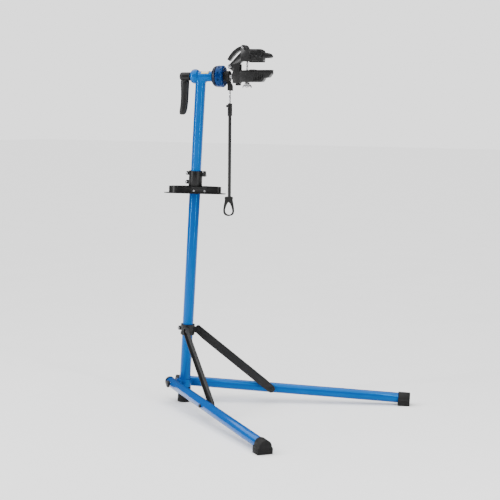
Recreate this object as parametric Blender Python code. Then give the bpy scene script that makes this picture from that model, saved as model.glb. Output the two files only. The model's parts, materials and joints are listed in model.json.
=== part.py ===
"""Bike repair stand: two folding legs, a telescoping mast and a turning clamp.

Metres, +Z up, origin on the floor under the mast foot, +X midway between the legs.
The mast leans forward by LEAN, so most pieces are built upright in the mast's own
frame, in a leg's frame or in the clamp head's frame, and then placed by a matrix.
"""
import math
import bpy
import bmesh
from mathutils import Matrix, Vector

# ---- driving dimensions -------------------------------------------------------
LEAN = math.radians(3.58)          # mast leans towards +X
SPREAD = math.radians(30.3)        # half the angle between the legs
GAP = 0.0003                       # clearance between touching pieces
ROUND, FINE, SMALL, TINY = 24, 16, 10, 8   # sides of round pieces, large to small

LOWER_R, LOWER_BORE = 0.022225, 0.02085
LOWER_Z0, LOWER_Z1 = 0.044, 0.905
UPPER_R, UPPER_BORE = 0.02065, 0.0188
UPPER_Z0 = 0.700
MAST_FOOT_R, MAST_FOOT_H = 0.0272, 0.0620

LEG_R, LEG_BORE = 0.02065, 0.0188
LEG_OFFSET = 0.0500                # leg axis to mast axis, sideways
LEG_Z = 0.0752                     # leg axis height along the mast
LEG_TAIL, LEG_END = -0.030, 0.905
LEG_CAP_END = -0.0465              # far face of the cap on the tube's tail
FOOT_START, FOOT_END = 0.874, 0.922
FOOT_R, FOOT_HALF = 0.0243, 0.0290   # upper part's radius, base block's half width
FOOT_LOW = 0.030                   # outline's lowest height, later trimmed to the floor
FOOT_STEP = 0.0740                 # height where the base block begins
PIVOT_R = 0.004

STRUT_LOW_T = 0.355                # strut's lower pivot, along the leg
STRUT_TOP_T, STRUT_TOP_Z = 0.0375, 0.300
STRUT_W, STRUT_FLANGE, STRUT_PLATE = 0.034, 0.0115, 0.0025
STRUT_SIDE = 0.0286                # outer edge of the strut's flanges

LEG_COLLAR_Z, LEG_COLLAR_H, LEG_COLLAR_R = 0.3020, 0.043, 0.0285
HEIGHT_COLLAR_Z0, HEIGHT_COLLAR_Z1, HEIGHT_COLLAR_R = 0.888, 0.951, 0.0275
EAR_BOLT_X = -0.036
EAR_END_X = -0.0445
EAR_HALF = 0.0105
SLIT = 0.0022

TRAY_TURN = math.radians(-54.0)    # direction the tray's straight wall faces
TRAY_Z, TRAY_H, TRAY_R, TRAY_WALL = 0.8575, 0.0290, 0.1060, 0.0030
TRAY_BRIM_R, TRAY_BASE = 0.1250, 0.0026
TRAY_FLAT = 0.0350
TRAY_SCREW_Z = 0.0125
TRAY_DEPTH = 0.84                  # the round side's depth over its half width
TRAY_ROLL, TRAY_PITCH = math.radians(-1.1), math.radians(1.5)

HEAD_Z = 1.325
HEAD_TURN = math.radians(18.0)
HEAD_R, HEAD_BORE = 0.02065, 0.0170
LABEL_X0, LABEL_X1 = 0.0060, 0.0370  # blank sticker over the top of the head tube
JAW_HALF = 0.0170                  # half the width of the clamp castings
SPINDLE_R = 0.0080
HUB_R = 0.0172
NECK_R, NECK_END = 0.0180, 0.1225
DRUM_R, DRUM_X0, DRUM_X1 = 0.0430, 0.0700, 0.1005
ROD_X = 0.1935
ROD_R = 0.0036
JAW_PIVOT = (0.1280, 0.0383)       # along the head, above its axis
LEVER_PIN = (0.1800, 0.1130)
SADDLE_R, SADDLE_Z = 0.0080, -0.0306

HOLDER_X = 0.1225
HOLDER_TUBE_R = 0.0065
STRAP_X0, STRAP_X1 = 0.1070, 0.1225 # the strap's band around the neck

LOOP_OUTER = [(0.0138, -0.4766), (0.0150, -0.4900), (0.0178, -0.5050), (0.0205, -0.5200),
              (0.0215, -0.5330), (0.0195, -0.5430), (0.0130, -0.5505), (0.0, -0.5537)]
LOOP_INNER = [(0.0, -0.4980), (0.0060, -0.5020), (0.0110, -0.5110), (0.0152, -0.5230),
              (0.0168, -0.5330), (0.0152, -0.5400), (0.0098, -0.5455), (0.0, -0.5485)]

MAST = Matrix.Rotation(LEAN, 4, "Y")
HEAD_CENTRE = Vector((math.tan(LEAN) * HEAD_Z, 0.0, HEAD_Z))
HEAD = Matrix.Translation(HEAD_CENTRE) @ Matrix.Rotation(HEAD_TURN, 4, "Z")


def leg_frame(side):
    """Frame of one leg: +X along the leg, +Z along the mast; side is -1 or +1."""
    return MAST @ Matrix.Rotation(side * SPREAD, 4, "Z")


# ---- materials ------------------------------------------------------------------
PAINTS = {
    "blue_paint": ((0.003, 0.17, 0.50), 0.25, 0.0),
    "black_paint": ((0.045, 0.045, 0.048), 0.45, 0.0),
    "black_plastic": ((0.03, 0.03, 0.032), 0.5, 0.0),
    "rubber": ((0.022, 0.022, 0.023), 0.75, 0.0),
    "steel": ((0.72, 0.72, 0.74), 0.25, 1.0),
    "grey_cast": ((0.06, 0.06, 0.063), 0.45, 0.2),
    "label": ((0.80, 0.78, 0.62), 0.4, 0.0),
}


def paint(name):
    """Find or make the material called name."""
    found = bpy.data.materials.get(name)
    if found:
        return found
    colour, roughness, metallic = PAINTS[name]
    made = bpy.data.materials.new(name)
    made.use_nodes = True
    shader = made.node_tree.nodes["Principled BSDF"]
    shader.inputs["Base Color"].default_value = (*colour, 1.0)
    shader.inputs["Roughness"].default_value = roughness
    shader.inputs["Metallic"].default_value = metallic
    return made


# ---- modelling tools --------------------------------------------------------------
def to_object(bm, name):
    """Turn a closed bmesh into a linked object with its faces pointing out."""
    bmesh.ops.recalc_face_normals(bm, faces=bm.faces)
    if bm.calc_volume(signed=True) < 0.0:
        bmesh.ops.reverse_faces(bm, faces=bm.faces)
    mesh = bpy.data.meshes.new(name)
    bm.to_mesh(mesh)
    bm.free()
    made = bpy.data.objects.new(name, mesh)
    bpy.context.collection.objects.link(made)
    return made


AXIS_TURN = {
    "Z": Matrix.Identity(4),
    "X": Matrix.Rotation(math.pi / 2, 4, "Y"),
    "Y": Matrix.Rotation(-math.pi / 2, 4, "X"),
}


def rod(name, radius, start, end, centre=(0.0, 0.0), axis="Z", sides=FINE, tip=None):
    """A closed cylinder or cone along an axis; centre holds the other two coordinates."""
    bm = bmesh.new()
    top = radius if tip is None else tip
    bmesh.ops.create_cone(bm, cap_ends=True, segments=sides, radius1=radius, radius2=top,
                          depth=end - start)
    a, b = centre
    middle = (start + end) / 2
    place = {"Z": (a, b, middle), "X": (middle, a, b), "Y": (a, middle, b)}[axis]
    bm.transform(Matrix.Translation(place) @ AXIS_TURN[axis])
    return to_object(bm, name)


def turned(name, profile, axis="Z", centre=(0.0, 0.0), sides=FINE):
    """Turn a closed (radius, height) outline about an axis; radius 0 closes on it."""
    bm = bmesh.new()
    rings = []
    for radius, height in profile:
        if radius <= 0.0:
            rings.append([bm.verts.new((0.0, 0.0, height))])
            continue
        ring = []
        for k in range(sides):
            turn = 2 * math.pi * (k + 0.5) / sides
            ring.append(bm.verts.new((radius * math.cos(turn), radius * math.sin(turn), height)))
        rings.append(ring)
    pairs = list(zip(rings, rings[1:] + rings[:1]))
    for low, high in pairs:
        if len(low) == 1 and len(high) == 1:
            continue
        for k in range(sides):
            j = (k + 1) % sides
            corners = [low[k % len(low)], low[j % len(low)], high[j % len(high)], high[k % len(high)]]
            bm.faces.new(list(dict.fromkeys(corners)))
    a, b = centre
    place = {"Z": (a, b, 0.0), "X": (0.0, a, b), "Y": (a, 0.0, b)}[axis]
    bm.transform(Matrix.Translation(place) @ AXIS_TURN[axis])
    return to_object(bm, name)


def pipe(name, outer, inner, start, end, centre=(0.0, 0.0), axis="Z", sides=FINE):
    """A tube open at both ends."""
    profile = [(outer, start), (outer, end), (inner, end), (inner, start)]
    return turned(name, profile, axis, centre, sides)


def block(name, low, high):
    """A box between two corners."""
    bm = bmesh.new()
    size = [b - a for a, b in zip(low, high)]
    middle = [(a + b) / 2 for a, b in zip(low, high)]
    bmesh.ops.create_cube(bm, size=1.0)
    bm.transform(Matrix.Translation(middle) @ Matrix.Diagonal((*size, 1.0)))
    return to_object(bm, name)


def slab(name, outline, start, end, axis="Y"):
    """Extrude an outline along an axis: (x, z) points for Y, (x, y) for Z, (y, z) for X."""
    bm = bmesh.new()
    lift = {
        "Y": lambda a, b: (a, start, b),
        "Z": lambda a, b: (a, b, start),
        "X": lambda a, b: (start, a, b),
    }[axis]
    face = bm.faces.new([bm.verts.new(lift(a, b)) for a, b in outline])
    grown = bmesh.ops.extrude_face_region(bm, geom=[face])
    step = {"X": (1, 0, 0), "Y": (0, 1, 0), "Z": (0, 0, 1)}[axis]
    moved = [item for item in grown["geom"] if isinstance(item, bmesh.types.BMVert)]
    bmesh.ops.translate(bm, vec=Vector(step) * (end - start), verts=moved)
    return to_object(bm, name)


def baked(target):
    """Replace an object's mesh by its evaluated one and drop its modifiers."""
    graph = bpy.context.evaluated_depsgraph_get()
    mesh = bpy.data.meshes.new_from_object(target.evaluated_get(graph))
    target.modifiers.clear()
    target.data = mesh
    return target


def combine(target, tool, operation):
    """Boolean the tool into the target, then delete the tool."""
    modifier = target.modifiers.new(operation.lower(), "BOOLEAN")
    modifier.operation = operation
    modifier.solver = "EXACT"
    modifier.object = tool
    baked(target)
    bpy.data.objects.remove(tool)
    return target


def cut(target, *tools):
    """Subtract each tool."""
    for tool in tools:
        combine(target, tool, "DIFFERENCE")
    return target


def join(target, *tools):
    """Union with each tool."""
    for tool in tools:
        combine(target, tool, "UNION")
    return target


def bevelled(target, width, segments=1):
    """Round an object's sharp edges."""
    modifier = target.modifiers.new("bevel", "BEVEL")
    modifier.width = width
    modifier.segments = segments
    modifier.limit_method = "ANGLE"
    modifier.angle_limit = math.radians(50)
    modifier.use_clamp_overlap = True
    return baked(target)


def floor_cut(target, matrix):
    """Remove whatever lies below the floor once the object is placed by matrix."""
    bm = bmesh.new()
    bm.from_mesh(target.data)
    bm.transform(matrix)
    bmesh.ops.bisect_plane(bm, geom=bm.verts[:] + bm.edges[:] + bm.faces[:], plane_co=(0, 0, 0),
                           plane_no=(0, 0, 1), clear_inner=True)
    open_edges = [edge for edge in bm.edges if edge.is_boundary]
    bmesh.ops.holes_fill(bm, edges=open_edges, sides=0)
    bm.transform(matrix.inverted())
    bmesh.ops.recalc_face_normals(bm, faces=bm.faces)
    bm.to_mesh(target.data)
    bm.free()
    return target


def arc(centre, radius, first, last, steps):
    """Points on a circular arc, angles in degrees."""
    points = []
    for k in range(steps + 1):
        turn = math.radians(first + (last - first) * k / steps)
        points.append((centre[0] + radius * math.cos(turn), centre[1] + radius * math.sin(turn)))
    return points


def finish(made, material, matrix, empty=None):
    """Place an object, give it its material and smooth its round faces."""
    made.matrix_world = matrix
    made.data.materials.clear()
    made.data.materials.append(paint(material))
    made.data.shade_smooth()
    made.data.set_sharp_from_angle(angle=math.radians(35))
    if empty is not None:
        made.parent = empty
        made.matrix_parent_inverse = empty.matrix_world.inverted()
    return made


def pivot(name, place):
    """An empty on a joint's axis, to which the moving pieces are parented."""
    made = bpy.data.objects.new(name, None)
    made.matrix_world = Matrix.Translation(place)
    made.empty_display_size = 0.02
    bpy.context.collection.objects.link(made)
    bpy.context.view_layer.update()
    return made


def screw(name, head_r, head_h, shank_r, start, end, centre, axis="Y", direction=1, sides=6):
    """A bolt: a head beyond start, and a shank from start to end."""
    if direction > 0:
        head_low, head_high = start - head_h, start
    else:
        head_low, head_high = start, start + head_h
    made = rod(name, head_r, head_low, head_high, centre, axis, sides)
    lap = 0.0005 * direction
    shank_low, shank_high = sorted((start - lap, end))
    return join(made, rod("shank", shank_r, shank_low, shank_high, centre, axis, 16))


# ---- base and mast ------------------------------------------------------------------
def build_base():
    tube = pipe("lower_tube", LOWER_R, LOWER_BORE, LOWER_Z0, LOWER_Z1, sides=ROUND)
    finish(tube, "blue_paint", MAST)

    foot = turned("mast_foot", [(0.0, -0.01), (MAST_FOOT_R, -0.01), (MAST_FOOT_R, 0.008),
                                (MAST_FOOT_R - 0.0016, MAST_FOOT_H - 0.002),
                                (MAST_FOOT_R - 0.003, MAST_FOOT_H),
                                (LOWER_R + GAP, MAST_FOOT_H), (LOWER_R + GAP, LOWER_Z0 - GAP),
                                (0.0, LOWER_Z0 - GAP)], sides=ROUND)
    finish(floor_cut(foot, MAST), "rubber", MAST)

    bracket = pipe("base_bracket", 0.0268, LOWER_R + GAP, 0.0640, 0.0940, sides=ROUND)
    for side in (-1, 1):
        near, far = sorted((side * 0.0238, side * 0.0270))
        cheek = block("cheek", (-0.027, near, 0.0645), (0.027, far, 0.0925))
        cheek.data.transform(Matrix.Rotation(side * SPREAD, 4, "Z"))
        join(bracket, cheek)
    for side in (-1, 1):
        near, far = sorted((side * 0.0228, side * 0.0300))
        hole = rod("hole", PIVOT_R + 0.0003, near, far, (0.0, LEG_Z), "Y", SMALL)
        hole.data.transform(Matrix.Rotation(side * SPREAD, 4, "Z"))
        cut(bracket, hole)
    finish(bracket, "blue_paint", MAST)

    for side, word in ((-1, "left"), (1, "right")):
        outer = side * (LEG_OFFSET + LEG_R + GAP)
        bolt = screw("leg_pivot_bolt_" + word, 0.0148, 0.0060, PIVOT_R, outer, side * 0.0242,
                     (0.0, LEG_Z), "Y", -side, FINE)
        crown = sorted((outer + side * 0.0055, outer + side * 0.0085))
        join(bolt, rod("crown", 0.0115, crown[0], crown[1], (0.0, LEG_Z), "Y", FINE))
        finish(bolt, "black_paint", leg_frame(side))


def split_collar(name, radius, bore, low, high, bolt_heights, ear_height):
    """A collar split at the back, with a pair of ears for each clamping bolt."""
    collar = rod(name, radius, low, high, sides=ROUND)
    for height in bolt_heights:
        ear = block("ear", (EAR_END_X, -EAR_HALF, height - ear_height / 2),
                    (-radius + 0.006, EAR_HALF, height + ear_height / 2))
        join(collar, bevelled(ear, 0.0025))
    cut(collar, rod("bore", bore, low - 0.01, high + 0.01, sides=ROUND))
    cut(collar, block("slit", (EAR_END_X - 0.01, -SLIT / 2, low - 0.01),
                      (-0.015, SLIT / 2, high + 0.01)))
    for height in bolt_heights:
        cut(collar, rod("bolt_hole", 0.0034, -0.03, 0.03, (EAR_BOLT_X, height), "Y", SMALL))
    return collar


def ear_bolt(name, height):
    """A clamping bolt with its head on the -Y ear and its nut on the +Y ear."""
    bolt = screw(name, 0.0062, 0.0050, 0.0030, -EAR_HALF - GAP, EAR_HALF + 0.006,
                 (EAR_BOLT_X, height), "Y", 1)
    nut = rod("nut", 0.0058, EAR_HALF + GAP, EAR_HALF + 0.0050, (EAR_BOLT_X, height), "Y", 6)
    return join(bolt, nut)


def build_height_collar():
    heights = (0.9032, 0.9390)
    collar = split_collar("height_collar", HEIGHT_COLLAR_R, LOWER_R + GAP, HEIGHT_COLLAR_Z0,
                          HEIGHT_COLLAR_Z1, heights, 0.0150)
    lip = pipe("lip", HEIGHT_COLLAR_R - 0.001, UPPER_R + 0.0004, LOWER_Z1 + GAP,
               HEIGHT_COLLAR_Z1, sides=ROUND)
    cut(lip, block("slit", (-0.05, -SLIT / 2, 0.80), (-0.015, SLIT / 2, 1.0)))
    join(collar, lip)
    turn = Matrix.Rotation(math.radians(22.0), 4, "Z")
    boss = rod("boss", 0.0080, 0.0235, 0.0280, (0.0, 0.9390), "X", SMALL)
    boss.data.transform(turn)
    join(collar, boss)
    hole = rod("hole", 0.0030, 0.0180, 0.0400, (0.0, 0.9390), "X", SMALL)
    hole.data.transform(turn)
    cut(collar, hole)
    finish(collar, "black_plastic", MAST)
    for k, height in enumerate(heights):
        finish(ear_bolt("height_collar_bolt_%d" % (k + 1), height), "steel", MAST)

    knob = rod("height_knob", 0.0070, 0.0283, 0.0420, (0.0, 0.0), "X", FINE)
    for k in range(3):
        turn_k = math.radians(90 + 120 * k)
        lobe = rod("lobe", 0.0052, 0.0310, 0.0415,
                   (0.0085 * math.cos(turn_k), 0.0085 * math.sin(turn_k)), "X", SMALL)
        join(knob, lobe)
    join(knob, rod("stud", 0.0026, 0.0212, 0.0290, (0.0, 0.0), "X", TINY))
    knob.data.transform(turn @ Matrix.Translation((0.0, 0.0, 0.9390)))
    finish(knob, "black_plastic", MAST, pivot("height_knob_axis", MAST @ Vector((0, 0, 0.9390))))


# ---- tray -----------------------------------------------------------------------------
def tray_outline(radius, flat, left_round, right_round):
    """A disc with one straight side at x = flat; its two corners are rounded by circles
    that touch the straight side and the disc from inside."""
    def corner(size, sign):
        reach = radius - size
        x = flat - size
        y = sign * math.sqrt(reach * reach - x * x)
        return (x, y), math.degrees(math.atan2(y, x))
    (lx, ly), left_turn = corner(left_round, -1)
    (rx, ry), right_turn = corner(right_round, 1)
    points = arc((rx, ry), right_round, 0.0, right_turn, 3)
    points += arc((0.0, 0.0), radius, right_turn, 360 + left_turn, 26)[1:]
    points += arc((lx, ly), left_round, left_turn, 0.0, 5)[1:]
    return [(x * TRAY_DEPTH if x < 0.0 else x, y) for x, y in points]


def build_tray():
    """Level tray around the mast; local +X is its straight wall's outward direction."""
    axis_point = MAST @ Vector((0, 0, TRAY_Z + 0.001))
    place = (Matrix.Translation((axis_point.x, 0.0, TRAY_Z)) @ Matrix.Rotation(TRAY_TURN, 4, "Z")
             @ Matrix.Rotation(TRAY_ROLL, 4, "X") @ Matrix.Rotation(-TRAY_PITCH, 4, "Y"))
    empty = pivot("tray_axis", axis_point)
    wall = tray_outline(TRAY_R, TRAY_FLAT, 0.042, 0.012)
    inner = tray_outline(TRAY_R - TRAY_WALL, TRAY_FLAT - TRAY_WALL, 0.039, 0.009)
    brim = tray_outline(TRAY_BRIM_R, TRAY_FLAT + 0.010, 0.050, 0.034)
    tray = slab("tray", wall, 0.0005, TRAY_H, "Z")
    join(tray, slab("brim", brim, 0.0, TRAY_BASE, "Z"))
    cut(tray, slab("inside", inner, TRAY_BASE, TRAY_H + 0.01, "Z"))
    to_tray = place.inverted() @ MAST
    mast_hole = rod("mast_hole", LOWER_R + 0.0012, TRAY_Z - 0.03, TRAY_Z + 0.05, sides=ROUND)
    mast_hole.data.transform(to_tray)
    cut(tray, mast_hole)
    for k in range(9):
        turn = math.radians(100 + 20 * k)
        centre = (0.1155 * TRAY_DEPTH * math.cos(turn), 0.1155 * math.sin(turn))
        cut(tray, rod("tool_hole", 0.0042, -0.01, 0.01, centre, "Z", TINY))
    screw_ys = (-0.003, 0.040)
    for y in screw_ys:
        cut(tray, rod("hole", 0.0026, 0.02, 0.06, (y, TRAY_SCREW_Z), "X", TINY))
    finish(tray, "black_plastic", place, empty)

    clamp = block("tray_clamp", (-0.0310, -0.0400, TRAY_BASE + GAP),
                  (TRAY_FLAT - TRAY_WALL - GAP, 0.0480, 0.0265))
    bevelled(clamp, 0.003)
    bore = rod("bore", LOWER_R + GAP, TRAY_Z - 0.03, TRAY_Z + 0.06, sides=ROUND)
    bore.data.transform(to_tray)
    cut(clamp, bore)
    cut(clamp, block("slit", (-0.001, 0.015, -0.01), (0.001, 0.06, 0.05)))
    cut(clamp, rod("hole", 0.0024, 0.0260, 0.06, (-0.003, TRAY_SCREW_Z), "X", TINY))
    cut(clamp, rod("hole", 0.0024, -0.028, 0.06, (0.040, TRAY_SCREW_Z), "X", TINY))
    finish(clamp, "black_plastic", place, empty)

    front = TRAY_FLAT + GAP
    plate = block("tray_plate", (front, -0.0130, 0.0034), (front + 0.0030, 0.0500, 0.0268))
    bevelled(plate, 0.0012)
    for y in screw_ys:
        cut(plate, rod("hole", 0.0026, 0.02, 0.06, (y, TRAY_SCREW_Z), "X", TINY))
    finish(plate, "black_paint", place, empty)

    for k, (y, depth) in enumerate(zip(screw_ys, (0.0272, -0.020))):
        made = screw("tray_screw_%d" % (k + 1), 0.0040, 0.0026, 0.0021, front + 0.0033, depth,
                     (y, TRAY_SCREW_Z), "X", -1, FINE)
        cut(made, rod("drive", 0.0022, front + 0.0042, front + 0.01, (y, TRAY_SCREW_Z), "X", 6))
        finish(made, "steel", place, empty)


# ---- legs ------------------------------------------------------------------------------
def build_leg_collar():
    empty = pivot("leg_collar_slide", MAST @ Vector((0, 0, LEG_COLLAR_Z)))
    low, high = LEG_COLLAR_Z - LEG_COLLAR_H / 2, LEG_COLLAR_Z + LEG_COLLAR_H / 2
    collar = split_collar("leg_collar", LEG_COLLAR_R - 0.0020, LOWER_R + GAP, low, high,
                          (LEG_COLLAR_Z,), 0.0170)
    for start in (low, high - 0.0095):
        flange = pipe("flange", LEG_COLLAR_R, LOWER_R + 0.001, start, start + 0.0095, sides=ROUND)
        cut(flange, block("slit", (-0.05, -SLIT / 2, 0.0), (-0.015, SLIT / 2, 1.0)))
        join(collar, flange)
    inner = STRUT_SIDE - STRUT_FLANGE - GAP
    for side in (-1, 1):
        near, far = sorted((side * (inner - 0.0060), side * inner))
        lug = slab("lug", [(0.018, STRUT_TOP_Z - 0.0125)]
                   + arc((STRUT_TOP_T, STRUT_TOP_Z), 0.0125, -90, 90, 6)
                   + [(0.018, STRUT_TOP_Z + 0.0125)], near, far, "Y")
        lug.data.transform(Matrix.Rotation(side * SPREAD, 4, "Z"))
        join(collar, lug)
        near, far = sorted((side * (inner - 0.0100), side * (inner + 0.0020)))
        hole = rod("hole", PIVOT_R + 0.0003, near, far, (STRUT_TOP_T, STRUT_TOP_Z), "Y", SMALL)
        hole.data.transform(Matrix.Rotation(side * SPREAD, 4, "Z"))
        cut(collar, hole)
    cut(collar, rod("bore", LOWER_R + GAP, low - 0.01, high + 0.01, sides=ROUND))
    finish(collar, "black_paint", MAST, empty)
    finish(ear_bolt("leg_collar_bolt", LEG_COLLAR_Z), "steel", MAST, empty)
    web_outer = STRUT_SIDE - STRUT_FLANGE + STRUT_PLATE
    for side, word in ((-1, "left"), (1, "right")):
        bolt = screw("strut_top_bolt_" + word, 0.0068, 0.0040, PIVOT_R - 0.0003,
                     side * (web_outer + GAP), side * (inner - 0.0068),
                     (STRUT_TOP_T, STRUT_TOP_Z), "Y", -side)
        finish(bolt, "black_paint", leg_frame(side), empty)


def build_leg(side, word):
    frame = leg_frame(side)
    y = side * LEG_OFFSET
    empty = pivot("leg_hinge_" + word, frame @ Vector((0, y, LEG_Z)))
    tube = pipe("leg_tube_" + word, LEG_R, LEG_BORE, LEG_TAIL, LEG_END, (y, LEG_Z), "X", ROUND)
    tube_low, tube_high = sorted((side * (LEG_OFFSET - 0.03), side * (LEG_OFFSET + 0.03)))
    cut(tube, rod("pivot_hole", PIVOT_R + 0.0003, tube_low, tube_high, (0.0, LEG_Z), "Y", SMALL))
    cut(tube, rod("strut_hole", PIVOT_R, tube_low, tube_high, (STRUT_LOW_T, LEG_Z), "Y", SMALL))
    finish(tube, "blue_paint", frame, empty)

    cap = turned("leg_cap_" + word, [
        (0.0, LEG_CAP_END), (LEG_R - 0.003, LEG_CAP_END + 0.0004),
        (LEG_R + 0.0008, LEG_CAP_END + 0.0035), (LEG_R + 0.0008, LEG_TAIL - GAP),
        (LEG_BORE - GAP, LEG_TAIL - GAP), (LEG_BORE - 0.0006, LEG_TAIL + 0.0160),
        (0.0, LEG_TAIL + 0.0160)], "X", (y, LEG_Z), ROUND)
    finish(cap, "black_plastic", frame, empty)

    outline = arc((y, LEG_Z), FOOT_R, 0, 180, 14)
    outline += [(y - FOOT_R, FOOT_STEP), (y - FOOT_HALF, FOOT_STEP - 0.003), (y - FOOT_HALF, FOOT_LOW),
                (y + FOOT_HALF, FOOT_LOW), (y + FOOT_HALF, FOOT_STEP - 0.003), (y + FOOT_R, FOOT_STEP)]
    foot = slab("foot_" + word, outline, FOOT_START, FOOT_END, "X")
    floor_cut(foot, frame)
    bevelled(foot, 0.003)
    cut(foot, rod("socket", LEG_R + GAP, FOOT_START - 0.01, LEG_END + GAP, (y, LEG_Z), "X", ROUND))
    finish(foot, "rubber", frame, empty)

    inner = side * (LEG_OFFSET - LEG_R - 0.0001)
    outer = side * (LEG_OFFSET + LEG_R + GAP)
    bolt = screw("strut_bolt_" + word, 0.0072, 0.0070, PIVOT_R - 0.0003, outer, inner,
                 (STRUT_LOW_T, LEG_Z), "Y", -side)
    finish(bolt, "black_paint", frame, empty)


def strut_outline(length, inset):
    """Side view of a strut: round where it passes the collar, square above, round below."""
    half, top_round, low_round = STRUT_W / 2 - inset, 0.0140 - inset, 0.0155 - inset
    taper = 0.045
    points = arc((0.0, 0.0), top_round, 180, 270, 3)
    points += [(taper, -half), (length - taper, -half)]
    points += arc((length, 0.0), low_round, -90, 90, 6)
    points += [(length - taper, half), (inset - 0.0060, half), (inset - 0.0110, half - 0.0050)]
    return points


def build_strut(side, word):
    """A channel with rounded ends, from the leg collar down to the leg."""
    frame = leg_frame(side)
    top = Vector((STRUT_TOP_T, STRUT_TOP_Z))
    low = Vector((STRUT_LOW_T, LEG_Z))
    length = (low - top).length
    empty = pivot("strut_hinge_" + word, frame @ Vector((STRUT_TOP_T, side * STRUT_SIDE, STRUT_TOP_Z)))
    outline = strut_outline(length, 0.0)
    hollow = strut_outline(length, STRUT_PLATE)
    web_in = side * (STRUT_SIDE - STRUT_FLANGE)
    web_out = side * (STRUT_SIDE - STRUT_FLANGE + STRUT_PLATE)
    rim = side * STRUT_SIDE
    body = slab("strut_" + word, outline, *sorted((web_in, rim)), "Y")
    cut(body, slab("hollow", hollow, *sorted((web_out, rim + side * 0.01)), "Y"))
    for x in (0.0, length):
        cut(body, rod("hole", PIVOT_R, -0.05, 0.05, (x, 0.0), "Y", SMALL))
    drop = math.atan2(top.y - low.y, low.x - top.x)
    body.data.transform(Matrix.Translation((top.x, 0.0, top.y)) @ Matrix.Rotation(drop, 4, "Y"))
    finish(body, "black_paint", frame, empty)

    pin = screw("strut_pin_" + word, 0.0068, 0.0035, PIVOT_R - 0.0003, web_in - side * GAP,
                side * (STRUT_SIDE - 0.0002), (low.x, low.y), "Y", side)
    finish(pin, "black_paint", frame, empty)


# ---- upper mast and head ---------------------------------------------------------------
def build_upper_mast():
    slide = pivot("mast_slide", MAST @ Vector((0, 0, LOWER_Z1)))
    bush = turned("glide_bush", [
        (UPPER_BORE - GAP, UPPER_Z0 + 0.020), (UPPER_BORE - GAP, UPPER_Z0 - GAP),
        (LOWER_BORE - 0.0002, UPPER_Z0 - GAP), (LOWER_BORE - 0.0002, UPPER_Z0 - 0.012),
        (UPPER_BORE - 0.0025, UPPER_Z0 - 0.012), (UPPER_BORE - 0.0025, UPPER_Z0 + 0.020)], sides=ROUND)
    finish(bush, "black_plastic", MAST, slide)

    swivel = pivot("mast_swivel", MAST @ Vector((0, 0, LOWER_Z1)))
    tube = pipe("upper_tube", UPPER_R, UPPER_BORE, UPPER_Z0, HEAD_Z / math.cos(LEAN), sides=ROUND)
    cope = rod("cope", HEAD_R + GAP, -0.06, 0.06, axis="X", sides=ROUND)
    cope.data.transform(MAST.inverted() @ HEAD)
    cut(tube, cope)
    finish(tube, "blue_paint", MAST, swivel)

    head = pipe("head_tube", HEAD_R, HEAD_BORE, -0.0400, 0.0560, axis="X", sides=ROUND)
    finish(head, "blue_paint", HEAD, swivel)

    cup = turned("rear_cup", [(HEAD_R + GAP, -0.0055), (HEAD_R + 0.0022, -0.0060)]
                 + [(x, z) for z, x in arc((-0.0245, 0.0), 0.0292, 56, 118, 7)]
                 + [(HEAD_R + GAP, -0.0385)], "X", sides=ROUND)
    clear = rod("clear", UPPER_R + 0.0006, 1.2, 1.4, sides=ROUND)
    clear.data.transform(HEAD.inverted() @ MAST)
    cut(cup, clear)
    finish(cup, "blue_paint", HEAD, swivel)

    ring = turned("clutch_ring", [
        (HEAD_R + GAP, 0.0530), (0.0290, 0.0530), (0.0345, 0.0555), (0.0390, 0.0600),
        (DRUM_R - 0.0015, 0.0655), (DRUM_R - 0.0010, DRUM_X0 - GAP), (SPINDLE_R + 0.0008, DRUM_X0 - GAP),
        (SPINDLE_R + 0.0008, 0.0563), (HEAD_R + GAP, 0.0563)], "X", sides=ROUND)
    finish(ring, "black_plastic", HEAD, swivel)

    sticker = slab("head_label", arc((0, 0), HEAD_R + 0.0009, 31, 149, 10)
                   + arc((0, 0), HEAD_R + GAP, 149, 31, 10), LABEL_X0, LABEL_X1, "X")
    finish(sticker, "label", HEAD, swivel)
    return swivel


def build_lock_handle():
    """Rear handle that tightens the head; it turns about the head's axis."""
    empty = pivot("lock_handle_axis", HEAD @ Vector((-0.07, 0, 0)))
    hub = turned("handle_hub", [
        (0.0, -0.0885), (0.0100, -0.0880), (0.0150, -0.0855), (HUB_R, -0.0810), (HUB_R, -0.0465),
        (HUB_R - 0.001, -0.0446), (0.0072, -0.0446), (0.0072, -0.0700), (0.0, -0.0700)],
        "X", sides=ROUND)
    finish(hub, "black_plastic", HEAD, empty)
    stations = [(-0.0100, -0.0680, 0.0180, 0.0136), (-0.0400, -0.0680, 0.0172, 0.0130),
                (-0.0700, -0.0680, 0.0158, 0.0120), (-0.1000, -0.0692, 0.0155, 0.0120),
                (-0.1280, -0.0730, 0.0158, 0.0122), (-0.1430, -0.0765, 0.0152, 0.0118),
                (-0.1495, -0.0785, 0.0125, 0.0095), (-0.1525, -0.0793, 0.0070, 0.0050)]
    sides = 24
    bm = bmesh.new()
    rings = []
    for z, x, long_half, wide_half in stations:
        ring = []
        for k in range(sides):
            turn = 2 * math.pi * k / sides
            ring.append(bm.verts.new((x + long_half * math.cos(turn), wide_half * math.sin(turn), z)))
        rings.append(ring)
    for low, high in zip(rings, rings[1:]):
        for k in range(sides):
            bm.faces.new((low[k], low[(k + 1) % sides], high[(k + 1) % sides], high[k]))
    bm.faces.new(rings[0])
    bm.faces.new(list(reversed(rings[-1])))
    grip = to_object(bm, "handle_grip")
    cut(grip, rod("hub_seat", HUB_R + GAP, -0.12, -0.03, axis="X", sides=ROUND))
    finish(grip, "black_plastic", HEAD, empty)


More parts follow.
